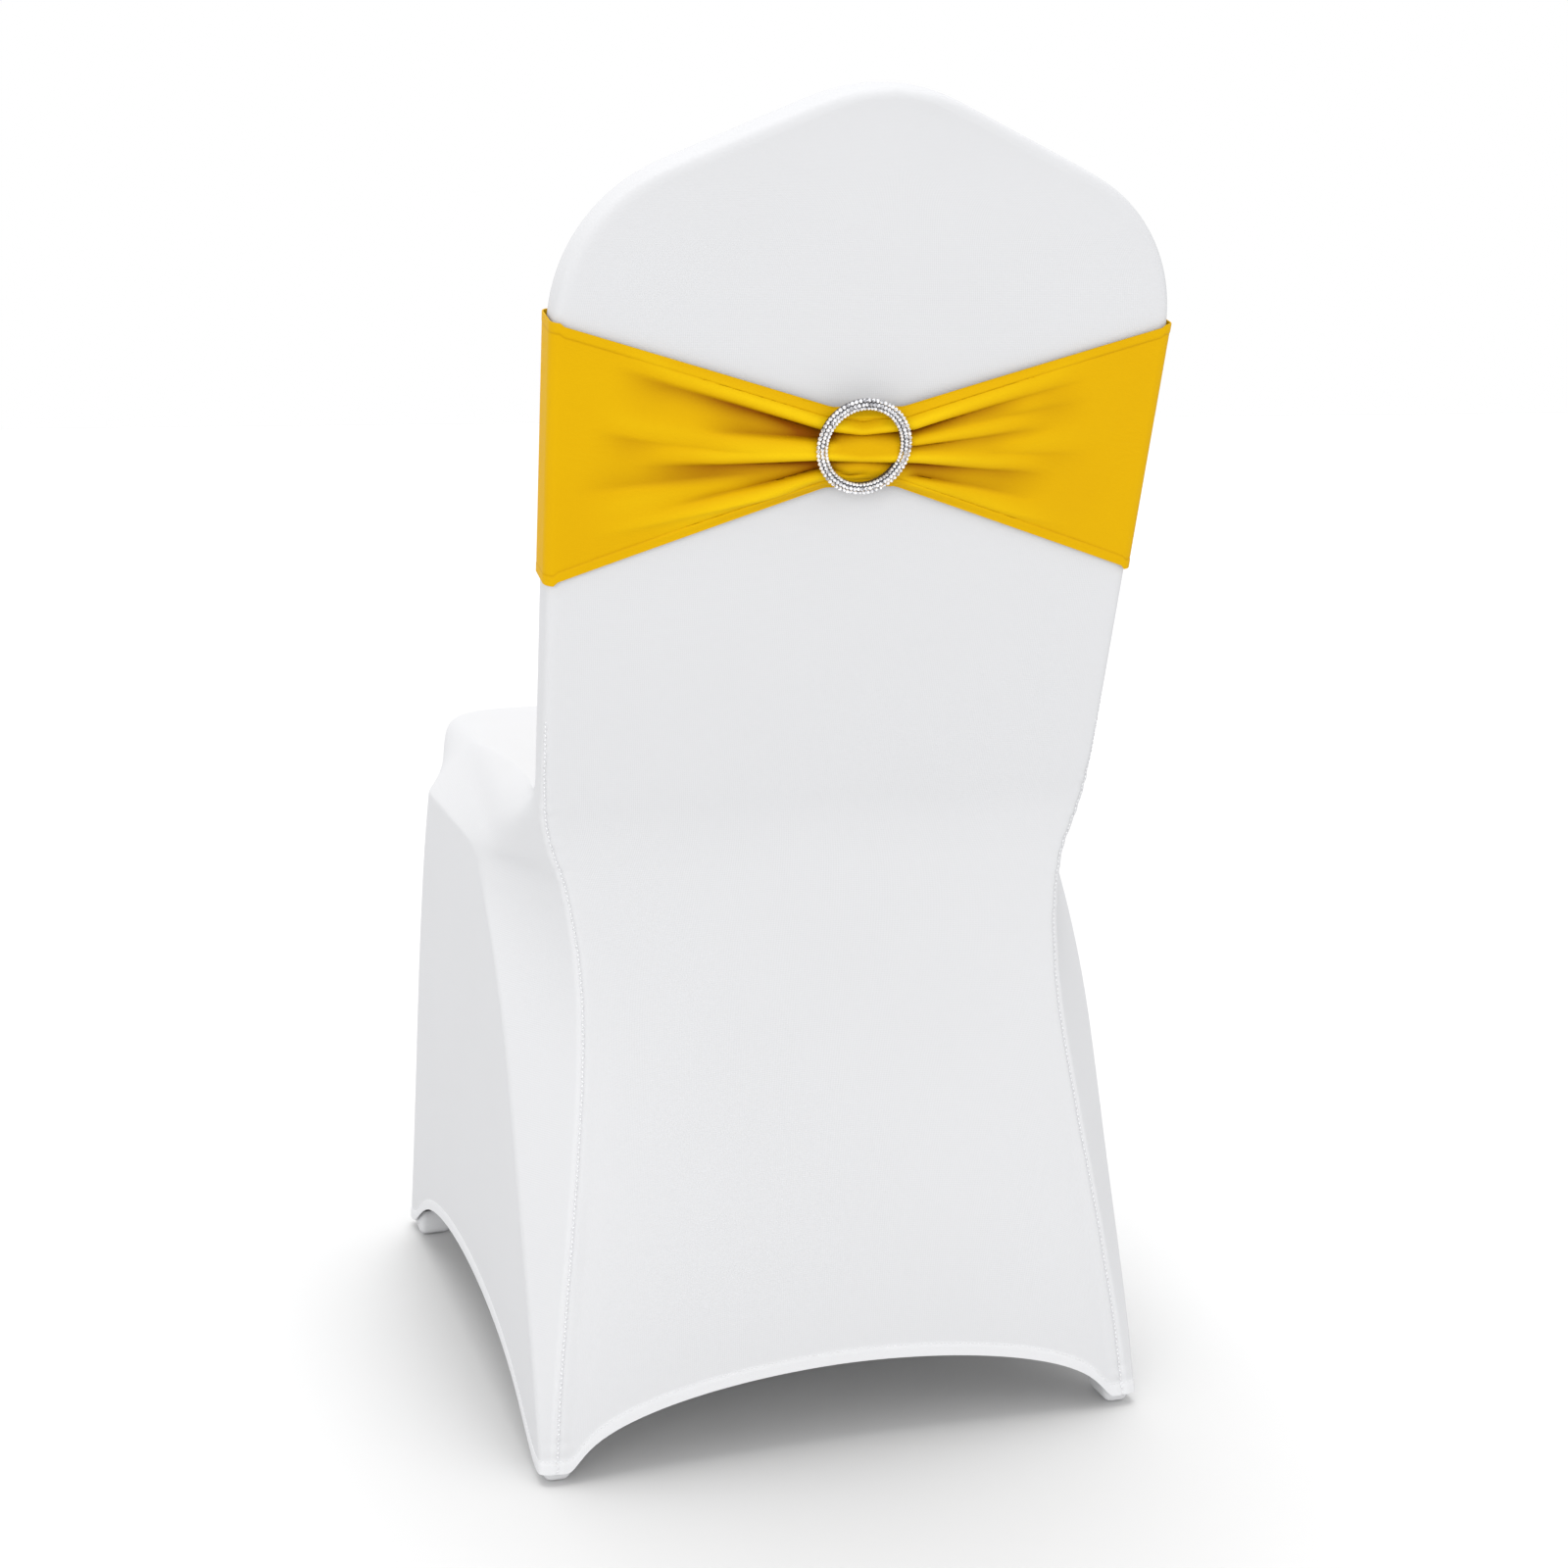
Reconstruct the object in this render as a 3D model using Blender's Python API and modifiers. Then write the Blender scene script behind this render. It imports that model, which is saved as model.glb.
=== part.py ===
"""Fitted stretch cover for a crown-back banquet chair, with a sash gathered through a ring.

Frame: metres, +Z up, the chair faces -Y, the sitter's left is +X, and the origin is on the floor
below the centre. The cover is a loft of half rings. A ring runs from the rear centre, round the rear
seam, the rear leg's ridge, the front leg's ridge and the seat's front corner, to the front centre.
"""

import math

import bmesh
import bpy
import numpy as np

# Cloth and gaps
CLOTH = 0.0015          # thickness of every sheet
GAP = 0.0003            # between pieces that touch
SEAM_BACK = 0.0011      # each panel stops this far from a seam, so that the corner's inside is clear
WAIST_BACK = 0.12       # share of the first row by which a side panel stops short of the waist
CORNER_BACK = 0.0016    # more, where the side panel meets the seat's and the back's corner
CENTRE_Y = 0.015        # the tables' zero for y is this far in front of the origin
HEM_Z = 0.008           # the panels' hems over the feet; the pockets' soles are below

# Backrest, measured on its own plane: x across, s up along it, n out of its rear face
RECLINE = math.radians(16.5)
BACK_Z = 0.781          # where s is 0, at the sash's top corners
BACK_Y = 0.2739         # mid-plane there
HALF_THICK = 0.014
FRONT_BULGE = 0.004     # padding on the front face
SHOULDER_HALF = 0.2065  # half width at the shoulders' base
WIDTH_SLOPE = 0.0185    # change of half width for each metre of height below it
SHOULDER_R = 0.110      # round shoulder
CROWN_SLOPE = math.radians(23.7)
PEAK_R = 0.124          # round peak of the crown
SHOULDER_S = -0.006     # s of the shoulders' base
CROWN_ROWS = 12
BACK_ROWS_Z = (0.745, 0.70, 0.655, 0.61, 0.565, 0.52, 0.485)

# Hem arches: half span and rise over the feet
FRONT_ARCH = (0.200, 0.068)
REAR_ARCH = (0.1975, 0.052)
SIDE_ARCH = (0.222, 0.063)
SIDE_ARCH_Y = -0.010    # its middle

# Columns of a half ring: straight segments between corners, and segments round each corner
STRAIGHTS = (6, 1, 6, 3, 4)
CORNER_SEGS = 2

# Rows from the waist down to the top of the leg frames. Each column is a corner of the half ring:
# rear seam (x, y, z), rear ridge, front ridge, seat corner, and front centre (y, z).
SEAT_ROWS = (
    # rear seam (x, y, z), rear ridge, front ridge,
    #     seat corner, front centre (y, z)
    ((0.2005, 0.1963, 0.470), (0.2010, 0.182, 0.470), (0.2005, 0.1670, 0.4700),  # waist
     (0.110, 0.1630, 0.4700), (0.1630, 0.4700)),
    ((0.2002, 0.1945, 0.464), (0.2020, 0.177, 0.465), (0.1960, 0.1420, 0.4620),  # junction
     (0.110, 0.1400, 0.4620), (0.1400, 0.4620)),
    ((0.1995, 0.1920, 0.456), (0.2035, 0.170, 0.458), (0.1885, 0.1000, 0.4590),  # seat a
     (0.110, 0.0950, 0.4600), (0.0950, 0.4605)),
    ((0.1985, 0.1890, 0.447), (0.2065, 0.158, 0.449), (0.1815, 0.0400, 0.4575),  # seat b
     (0.110, 0.0200, 0.4595), (0.0200, 0.4600)),
    ((0.1965, 0.1865, 0.437), (0.2095, 0.143, 0.440), (0.1835, -0.0400, 0.4570),  # seat c
     (0.130, -0.0800, 0.4590), (-0.0850, 0.4600)),
    ((0.1940, 0.1850, 0.428), (0.2125, 0.128, 0.431), (0.1885, -0.0900, 0.4555),  # seat d
     (0.165, -0.1850, 0.4580), (-0.1900, 0.4595)),
    ((0.1915, 0.1842, 0.420), (0.2150, 0.115, 0.423), (0.1920, -0.1160, 0.4520),  # edge in
     (0.182, -0.2760, 0.4565), (-0.2800, 0.4585)),
    ((0.1890, 0.1838, 0.414), (0.2170, 0.105, 0.416), (0.1980, -0.1250, 0.4440),  # edge top
     (0.193, -0.2980, 0.4480), (-0.2985, 0.4480)),
    ((0.1870, 0.1835, 0.408), (0.2190, 0.096, 0.409), (0.2100, -0.1310, 0.4300),  # edge low
     (0.192, -0.2975, 0.4320), (-0.2985, 0.4315)),
    ((0.1845, 0.1840, 0.400), (0.2205, 0.087, 0.402), (0.2262, -0.1370, 0.4110),  # under
     (0.178, -0.2760, 0.4190), (-0.2890, 0.4190)),
)

# The skirt below: height at the leg, then the same corners in plan (x, y), and the front centre's y.
SKIRT_ROWS = (
    # z      rear seam         rear ridge        front ridge        seat corner       front centre
    (0.385, (0.1800, 0.1865), (0.2210, 0.0970), (0.2272, -0.1500), (0.166, -0.2620), -0.2845),
    (0.350, (0.1757, 0.1930), (0.2212, 0.1210), (0.2277, -0.1680), (0.156, -0.2530), -0.2815),
    (0.300, (0.1768, 0.2030), (0.2212, 0.1460), (0.2282, -0.1880), (0.150, -0.2500), -0.2790),
    (0.250, (0.1825, 0.2145), (0.2212, 0.1665), (0.2288, -0.2050), (0.148, -0.2510), -0.2765),
    (0.190, (0.1900, 0.2265), (0.2213, 0.1875), (0.2294, -0.2220), (0.146, -0.2540), -0.2735),
    (0.130, (0.1985, 0.2375), (0.2214, 0.2105), (0.2300, -0.2390), (0.145, -0.2580), -0.2700),
    (0.070, (0.2060, 0.2465), (0.2217, 0.2335), (0.2306, -0.2565), (0.144, -0.2625), -0.2665),
    (0.035, (0.2088, 0.2503), (0.2219, 0.2440), (0.2311, -0.2665), (0.143, -0.2650), -0.2645),
    (HEM_Z, (0.2110, 0.2535), (0.2220, 0.2505), (0.2315, -0.2740), (0.143, -0.2675), -0.2625),
)
REAR_CENTRE_PULL = 0.004  # how far the rear hem's middle is drawn in

# Setbacks of the corners before and after each of them, which make them round
SEAM_SET = 0.007
RIDGE_SET = 0.012
SEAT_CORNER_SET = (0.095, 0.055)

# Foot pockets: plan box (x low, x high, y low, y high) at the floor, and the leg's slope in y
POCKETS = {
    "front": ((0.2010, 0.2284, -0.2700, -0.2340), 0.27),
    "rear": ((0.1990, 0.2185, 0.2150, 0.2495), -0.27),
}
POCKET_HIGH = 0.024
POCKET_ROUND = 0.006

# Sash, on the backrest's plane
SASH_OFF = 0.0006       # clear of the cover
SASH_CORNER = 0.005     # how far from the side its faces begin to turn
SASH_SIDE_N = 0.72      # and where the turn ends, as a share of its depth
SASH_SIDE = (0.000, -0.172)       # top and bottom s at the sides
SASH_FRONT = (-0.0212, -0.1478)   # at the front centre
SASH_RING = (-0.0535, -0.1075)    # at the ring
SASH_ROWS = 12
SASH_FRONT_COLS = 12
SASH_REAR_COLS = 18
RING_S = -0.0780
RING_OUT = 0.032
RING_IN = 0.0245
RING_THICK = 0.005
BUNCH = 0.0095          # how far the gathers stand out at the ring
# Pleats of the gathered cloth on the rear: place across the band (0 top, 1 bottom) at the side and
# at the ring, half width there and depth
PLEATS_LEFT = (
    # side    ring    half width  depth
    (0.20, 0.27, 0.055, 0.0050),
    (0.40, 0.42, 0.050, 0.0045),
    (0.56, 0.62, 0.055, 0.0055),
    (0.76, 0.80, 0.050, 0.0040),
)
PLEATS_RIGHT = (
    (0.25, 0.24, 0.060, 0.0045),
    (0.42, 0.44, 0.050, 0.0050),
    (0.62, 0.64, 0.055, 0.0055),
    (0.82, 0.83, 0.050, 0.0040),
)

WHITE = (0.86, 0.87, 0.88)
YELLOW = (0.95, 0.60, 0.03)
SILVER = (0.80, 0.80, 0.82)


def clear_scene():
    for obj in list(bpy.data.objects):
        bpy.data.objects.remove(obj, do_unlink=True)


def on_back(x, s, n):
    """A point of the backrest's own frame in world coordinates."""
    y = BACK_Y + s * math.sin(RECLINE) + n * math.cos(RECLINE)
    z = BACK_Z + s * math.cos(RECLINE) - n * math.sin(RECLINE)
    return np.array([x, y, z])


def back_half_width(z):
    return SHOULDER_HALF - WIDTH_SLOPE * max(BACK_Z - z, 0.0)


def bulge(x, half):
    return FRONT_BULGE * max(1 - (x / half) ** 2, 0.0) if half > 0 else FRONT_BULGE * 0.0


def crown_outline():
    """(half width, s) from the peak down to the shoulders' base."""
    turn = math.pi / 2 - CROWN_SLOPE
    shoulder = [
        (SHOULDER_HALF - SHOULDER_R * (1 - math.cos(a)), SHOULDER_S + SHOULDER_R * math.sin(a))
        for a in np.linspace(turn, 0, CROWN_ROWS // 2 + 1)
    ]
    half, s = shoulder[0]
    peak_half = PEAK_R * math.sin(CROWN_SLOPE)
    peak_base = s + (half - peak_half) * math.tan(CROWN_SLOPE)
    peak = [
        (PEAK_R * math.sin(a), peak_base + PEAK_R * (math.cos(a) - math.cos(CROWN_SLOPE)))
        for a in np.linspace(0, CROWN_SLOPE, 4)
    ]
    middle = [((peak_half + half) / 2, (peak_base + s) / 2)]
    return peak + middle + shoulder


def ring_row(corners, before, after):
    """Samples a half ring: straight runs between the corners, which are rounded with a quadratic curve."""
    corners = [np.asarray(c, float) for c in corners]
    starts, ends = [corners[0]], []
    for i in range(1, len(corners) - 1):
        back = corners[i - 1] - corners[i]
        ahead = corners[i + 1] - corners[i]
        reach = 0.45 if i > 1 else 0.9
        ends.append(corners[i] + back * min(before[i - 1] / max(np.linalg.norm(back), 1e-9), reach))
        starts.append(corners[i] + ahead * min(after[i - 1] / max(np.linalg.norm(ahead), 1e-9), 0.45))
    ends.append(corners[-1])
    points = []
    for i, count in enumerate(STRAIGHTS):
        for k in range(count):
            points.append(starts[i] + (ends[i] - starts[i]) * spread(i, k / count))
        if i == len(STRAIGHTS) - 1:
            points.append(ends[i])
            break
        for k in range(CORNER_SEGS):
            t = k / CORNER_SEGS
            points.append((1 - t) ** 2 * ends[i] + 2 * t * (1 - t) * corners[i + 1] + t * t * starts[i + 1])
    return np.array(points)


def spread(run, t):
    """Columns stand closer together towards the feet, where the hems curve most."""
    if run == 0:
        return math.sin(t * math.pi / 2)
    if run == 2:
        return (1 - math.cos(t * math.pi)) / 2
    return t


def column_of_corner(corner):
    """Index of the column in the middle of a corner: 1 is the rear seam and 3 the front ridge."""
    return sum(STRAIGHTS[:corner]) + CORNER_SEGS * (corner - 1) + CORNER_SEGS // 2


def back_row(half, s, flat):
    """A ring of the backrest; flat is how level the outline is there, which widens the rounding."""
    rise = s
    corners = [
        on_back(0, rise, HALF_THICK),
        on_back(half, rise, HALF_THICK),
        on_back(half, rise, 0),
        on_back(half, rise, -HALF_THICK),
        on_back(half * 0.55, rise, -HALF_THICK - bulge(half * 0.55, half)),
        on_back(0, rise, -HALF_THICK - bulge(0, half)),
    ]
    wide = SEAM_SET * flat
    return ring_row(corners, (wide, 0.001, SEAM_SET, 0.02), (SEAM_SET, 0.001, wide, 0.02))


def crown_rows():
    rows = []
    outline = crown_outline()
    for i, (half, s) in enumerate(outline):
        left = outline[max(i - 1, 0)]
        right = outline[min(i + 1, len(outline) - 1)]
        run = math.hypot(right[0] - left[0], right[1] - left[1])
        rows.append(back_row(half, s, min(run / max(abs(left[1] - right[1]), 1e-6), 3.0)))
    return rows


def backrest_rows():
    rows = []
    for z in BACK_ROWS_Z:
        rows.append(back_row(back_half_width(z), (z - BACK_Z) / math.cos(RECLINE), 1.0))
    return rows


def seat_rows():
    rows = []
    for i, (seam, rear, front, corner, centre) in enumerate(SEAT_ROWS):
        share = i / (len(SEAT_ROWS) - 1)
        first = (0, seam[1], seam[2])
        last = (0, centre[0], centre[1])
        round_side = SEAT_CORNER_SET[0] * share
        round_front = 0.02 + (SEAT_CORNER_SET[1] - 0.02) * share
        rear_set = 0.001 + 0.02 * share
        rows.append(ring_row(
            (first, seam, rear, front, corner, last),
            (SEAM_SET, rear_set, RIDGE_SET, max(round_side, 0.02)),
            (SEAM_SET, rear_set, RIDGE_SET, round_front),
        ))
    return rows


def arch(offset, half_span, rise):
    share = min(abs(offset) / half_span, 1.0)
    return HEM_Z + rise * math.sqrt(1 - share * share)


def hem_height(column, point):
    if column <= column_of_corner(1):
        return arch(point[0], *REAR_ARCH)
    if column >= column_of_corner(3):
        return arch(point[0], *FRONT_ARCH)
    return arch(point[1] - SIDE_ARCH_Y, *SIDE_ARCH)


def skirt_rows(top):
    rows = []
    plans = []
    for z, seam, rear, front, corner, centre in SKIRT_ROWS:
        share = (SEAT_ROWS[-1][2][2] - z) / (SEAT_ROWS[-1][2][2] - HEM_Z)
        first = (0, seam[1] - REAR_CENTRE_PULL * share, 0)
        ring = [first] + [(*p, 0) for p in (seam, rear, front, corner)] + [(0, centre, 0)]
        set_side = SEAT_CORNER_SET[0] * (1 - share) + 0.03
        plans.append((share, ring_row(
            ring,
            (SEAM_SET, RIDGE_SET, RIDGE_SET, set_side),
            (SEAM_SET, RIDGE_SET, RIDGE_SET, SEAT_CORNER_SET[1]),
        )))
    hem = plans[-1][1]
    for share, plan in plans:
        row = plan.copy()
        for column in range(len(row)):
            low = hem_height(column, hem[column])
            row[column][2] = top[column][2] + (low - top[column][2]) * share
        rows.append(row)
    return rows


def cover_rows():
    rows = crown_rows() + backrest_rows()
    first_seat = len(rows)
    rows += seat_rows()
    rows += skirt_rows(rows[-1])
    return rows, first_seat


def drawn_back(edge, inner, step, spare):
    """A panel's edge moved into the panel, square to the edge, so that the next panel's cloth clears it.

    Where the panel comes to a point, inner is the edge itself, and spare gives the way in.
    """
    moved = edge.copy()
    for i, point in enumerate(edge):
        along = edge[min(i + 1, len(edge) - 1)] - edge[max(i - 1, 0)]
        way = inner[i] - point
        if np.linalg.norm(way) < 1e-5:
            way = spare - point
            along = np.array([1.0, 0.0, 0.0])
        along = along / np.linalg.norm(along)
        way = way - along * np.dot(way, along)
        length = np.linalg.norm(way)
        if length > 1e-6:
            moved[i] = point + way / length * step
    return moved


def add_grid(mesh, grid):
    """Adds quads between the rows and columns of a grid of points."""
    verts = [[mesh.verts.new(p) for p in row] for row in grid]
    for i in range(len(grid) - 1):
        for j in range(len(grid[0]) - 1):
            mesh.faces.new((verts[i][j], verts[i][j + 1], verts[i + 1][j + 1], verts[i + 1][j]))


def trimmed(rows, low, high):
    """The columns low to high of some rows, with the edges at seams pulled back."""
    last = len(rows[0]) - 1
    grid = np.array([row[low:high + 1] for row in rows])
    if low > 0:
        grid[:, 0] = drawn_back(grid[:, 0], grid[:, 1], SEAM_BACK, grid[1, 0])
    if high < last:
        grid[:, -1] = drawn_back(grid[:, -1], grid[:, -2], SEAM_BACK, grid[1, 0])
    return grid


def make_material(name, colour, roughness, metallic):
    material = bpy.data.materials.new(name)
    material.use_nodes = True
    shader = material.node_tree.nodes["Principled BSDF"]
    shader.inputs["Base Color"].default_value = (*colour, 1)
    shader.inputs["Roughness"].default_value = roughness
    shader.inputs["Metallic"].default_value = metallic
    return material


def add_object(name, mesh, material, collection):
    data = bpy.data.meshes.new(name)
    bmesh.ops.remove_doubles(mesh, verts=mesh.verts, dist=0.00002)
    bmesh.ops.translate(mesh, verts=mesh.verts, vec=(0, -CENTRE_Y, 0))
    mesh.to_mesh(data)
    mesh.free()
    data.materials.append(material)
    obj = bpy.data.objects.new(name, data)
    collection.objects.link(obj)
    return obj


def add_thickness(obj, mirror=False):
    if mirror:
        halves = obj.modifiers.new("Mirror", "MIRROR")
        halves.merge_threshold = 0.00005
        halves.use_clip = True
    sheet = obj.modifiers.new("Solidify", "SOLIDIFY")
    sheet.thickness = CLOTH
    sheet.offset = -1
    sheet.use_even_offset = True
    return sheet


def make_panels(collection):
    rows, waist = cover_rows()
    seam, ridge, last = column_of_corner(1), column_of_corner(3), len(rows[0]) - 1
    cloth = make_material("cover_cloth", WHITE, 0.75, 0.0)

    mesh = bmesh.new()
    add_grid(mesh, trimmed(rows, 0, seam))
    add_thickness(add_object("back_panel", mesh, cloth, collection), mirror=True)

    mesh = bmesh.new()
    upper = trimmed(rows[:waist + 1], seam, last)
    lower = trimmed(rows[waist:], ridge, last)
    level = ridge - seam + 1
    upper[-1, :level] = drawn_back(upper[-1, :level], upper[-2, :level], 2 * GAP, upper[-2, 0])
    lower[0] = upper[-1, ridge - seam:]
    add_grid(mesh, upper)
    add_grid(mesh, lower)
    add_thickness(add_object("front_panel", mesh, cloth, collection), mirror=True)

    for side, sign in (("left", 1), ("right", -1)):
        mesh = bmesh.new()
        grid = trimmed(rows[waist:], seam, ridge)
        grid[0] += (grid[1] - grid[0]) * WAIST_BACK
        grid[:4, -1] = drawn_back(grid[:4, -1], grid[:4, -2], CORNER_BACK, grid[1, 0])
        grid = grid * np.array([sign, 1, 1])
        add_grid(mesh, grid if sign > 0 else grid[:, ::-1])
        add_thickness(add_object(f"side_panel_{side}", mesh, cloth, collection))
    return rows


def make_pocket(name, box, slope, sign, material, collection):
    """A cloth cup with a flat sole, leaning with its leg and open at the top."""
    low_x, high_x, low_y, high_y = box
    mesh = bmesh.new()
    bmesh.ops.create_cube(mesh, size=1)
    for vert in mesh.verts:
        vert.co.x = low_x + (vert.co.x + 0.5) * (high_x - low_x)
        vert.co.y = low_y + (vert.co.y + 0.5) * (high_y - low_y)
        vert.co.z = (vert.co.z + 0.5) * POCKET_HIGH
    rounded = [e for e in mesh.edges if min(v.co.z for v in e.verts) < POCKET_HIGH / 2]
    bmesh.ops.bevel(mesh, geom=rounded, offset=POCKET_ROUND, segments=2, profile=0.5, affect="EDGES")
    tops = [f for f in mesh.faces if min(v.co.z for v in f.verts) > POCKET_HIGH - 1e-5]
    bmesh.ops.delete(mesh, geom=tops, context="FACES_ONLY")
    for vert in mesh.verts:
        vert.co.y += slope * vert.co.z
        vert.co.x *= sign
    if sign < 0:
        bmesh.ops.reverse_faces(mesh, faces=mesh.faces)
    add_thickness(add_object(name, mesh, material, collection))


def make_pockets(collection):
    cloth = make_material("pocket_cloth", WHITE, 0.8, 0.0)
    for end, (box, slope) in POCKETS.items():
        for side, sign in (("left", 1), ("right", -1)):
            make_pocket(f"foot_pocket_{end}_{side}", box, slope, sign, cloth, collection)


def sash_column_front(x, half):
    """(s of top, s of bottom) across the front: the edges dip towards the middle and rise at the sides."""
    share = 1 - min(abs(x) / half, 1.0) ** 2.6
    top = SASH_SIDE[0] + (SASH_FRONT[0] - SASH_SIDE[0]) * share
    low = SASH_SIDE[1] + (SASH_FRONT[1] - SASH_SIDE[1]) * share
    return top, low


def sash_column_rear(x, half):
    """(s of top, s of bottom, gather) across the rear, straight from the sides to the ring."""
    gather = min(max((half - abs(x)) / (half - RING_IN), 0.0), 1.0)
    top = SASH_SIDE[0] + (SASH_RING[0] - SASH_SIDE[0]) * gather
    low = SASH_SIDE[1] + (SASH_RING[1] - SASH_SIDE[1]) * gather
    return top, low, gather


def pleat_depth(x, gather, place):
    """How far the gathered cloth stands out from its base at one place across the band."""
    depth = 0.0
    for side, ring, half_width, deep in PLEATS_LEFT if x > 0 else PLEATS_RIGHT:
        centre = side + (ring - side) * gather
        depth += deep * math.exp(-((place - centre) / half_width) ** 2)
    return gather ** 1.5 * (BUNCH * math.sin(math.pi * min(max(place, 0.03), 0.97)) ** 0.5 - depth)


def make_sash(collection):
    out = HALF_THICK + SASH_OFF + CLOTH
    half = SHOULDER_HALF + SASH_OFF + CLOTH
    stations = []
    for k in range(SASH_FRONT_COLS + 1):
        x = (half - SASH_CORNER) * math.sin((k / SASH_FRONT_COLS - 0.5) * math.pi)
        stations.append(("front", x))
    stations += [("side", 1, -SASH_SIDE_N), ("side", 1, SASH_SIDE_N)]
    for k in range(SASH_REAR_COLS + 1):
        stations.append(("rear", (half - SASH_CORNER) * (1 - 2 * k / SASH_REAR_COLS)))
    stations += [("side", -1, SASH_SIDE_N), ("side", -1, -SASH_SIDE_N)]
    mesh = bmesh.new()
    columns = []
    for station in stations:
        column = []
        for i in range(SASH_ROWS + 1):
            place = i / SASH_ROWS
            if station[0] == "front":
                x = station[1]
                top, low = sash_column_front(x, half)
                n = -out - bulge(x, half)
            elif station[0] == "side":
                x = station[1] * half
                top, low = SASH_SIDE
                n = out * station[2]
            else:
                x = station[1]
                top, low, gather = sash_column_rear(x, half)
                n = out + pleat_depth(x, gather, place)
            s = top + (low - top) * place
            # The backrest narrows a little towards the seat, and the band follows it.
            narrower = 1 + WIDTH_SLOPE * s * math.cos(RECLINE) / half
            column.append(mesh.verts.new(on_back(x * narrower, s, n)))
        columns.append(column)
    for j, column in enumerate(columns):
        following = columns[(j + 1) % len(columns)]
        for i in range(SASH_ROWS):
            mesh.faces.new((column[i], column[i + 1], following[i + 1], following[i]))
    cloth = make_material("sash_cloth", YELLOW, 0.6, 0.0)
    add_thickness(add_object("sash_band", mesh, cloth, collection))


def make_ring(collection):
    """A flat ring with a rounded face, turned about its own axis, which stands on the backrest's plane."""
    low = HALF_THICK + SASH_OFF + CLOTH + BUNCH + 0.0004
    high = low + RING_THICK
    soft = 0.0016
    profile = [
        (RING_OUT, high - soft), (RING_OUT, low), (RING_IN, low), (RING_IN, high - soft),
        (RING_IN + soft, high), (RING_OUT - soft, high),
    ]
    mesh = bmesh.new()
    verts = [mesh.verts.new((r, 0, z)) for r, z in profile]
    for i in range(len(verts)):
        mesh.edges.new((verts[i], verts[(i + 1) % len(verts)]))
    bmesh.ops.translate(mesh, verts=mesh.verts, vec=(0, CENTRE_Y, 0))
    obj = add_object("sash_ring", mesh, make_material("ring_metal", SILVER, 0.2, 1.0), collection)
    turn = obj.modifiers.new("Screw", "SCREW")
    turn.steps = turn.render_steps = 40
    turn.use_merge_vertices = True
    turn.merge_threshold = 0.00005
    obj.location = on_back(0, RING_S, 0) - np.array([0, CENTRE_Y, 0])
    obj.rotation_euler = (-math.pi / 2 - RECLINE, 0, 0)


def main():
    clear_scene()
    collection = bpy.data.collections.new("chair_cover_with_sash")
    bpy.context.scene.collection.children.link(collection)
    make_panels(collection)
    make_pockets(collection)
    make_sash(collection)
    make_ring(collection)


main()
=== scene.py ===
import math

import bmesh
import bpy
import numpy as np
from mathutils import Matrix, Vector


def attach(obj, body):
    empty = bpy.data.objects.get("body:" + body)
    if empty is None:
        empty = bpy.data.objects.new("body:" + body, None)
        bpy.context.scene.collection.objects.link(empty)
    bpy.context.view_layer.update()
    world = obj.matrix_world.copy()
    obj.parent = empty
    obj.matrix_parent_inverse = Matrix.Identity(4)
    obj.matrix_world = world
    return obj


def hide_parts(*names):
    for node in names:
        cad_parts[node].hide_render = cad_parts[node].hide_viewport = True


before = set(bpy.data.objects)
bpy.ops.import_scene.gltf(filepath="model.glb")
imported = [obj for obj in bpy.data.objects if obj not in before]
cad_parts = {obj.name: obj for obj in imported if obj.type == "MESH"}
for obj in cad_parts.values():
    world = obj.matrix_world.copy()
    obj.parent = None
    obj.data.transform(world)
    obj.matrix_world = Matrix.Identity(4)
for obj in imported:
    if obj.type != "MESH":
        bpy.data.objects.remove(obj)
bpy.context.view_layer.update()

# The cover is one smooth surface, worked out from named sections like those of the CAD's panels,
# then cut into the panels along the seams. y here is CENTRE_Y more than the row frame's y.
# Lengths are in metres. Left is +x, the rear is +y.
CENTRE_Y = 0.015
RECLINE = math.radians(16.5)
BACK_Z, BACK_Y = 0.781, 0.2739
HALF_THICK = 0.014      # half of the backrest's thickness
FRONT_BULGE = 0.004
FRONT_CORNER_SHARE = 0.55   # of the half width, where the backrest's front starts to bulge
SHOULDER_HALF, WIDTH_SLOPE, SHOULDER_R = 0.2065, 0.0185, 0.110
CROWN_SLOPE, PEAK_R, SHOULDER_S = math.radians(23.7), 0.124, -0.006
SHOULDER_STEPS, PEAK_STEPS = 10, 5
CROWN_EDGE_R, CROWN_EDGE_FADE = 0.006, 0.03     # rounding, and how far in the front's bulge is whole
BACK_ROWS_Z = (0.760, 0.730, 0.70, 0.655, 0.61, 0.565, 0.52, 0.495, 0.480)
HEM_Z = 0.008
FRONT_ARCH, REAR_ARCH = (0.200, 0.068), (0.1975, 0.052)
SIDE_ARCH, SIDE_ARCH_Y = (0.222, 0.063), -0.010
STRAIGHTS = (8, 1, 8, 5, 6)     # steps between the corners of a half ring
CORNER_SEGS = 4
FINE = 4                # subdivisions of each step of the control net
CLOTH = 0.0009          # thickness of the cloth
WELD = 0.00001
HEM_WIDTH = 0.010
HEM_LIFT = 0.0006
SEAM_ALLOWANCE = 0.005

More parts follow.
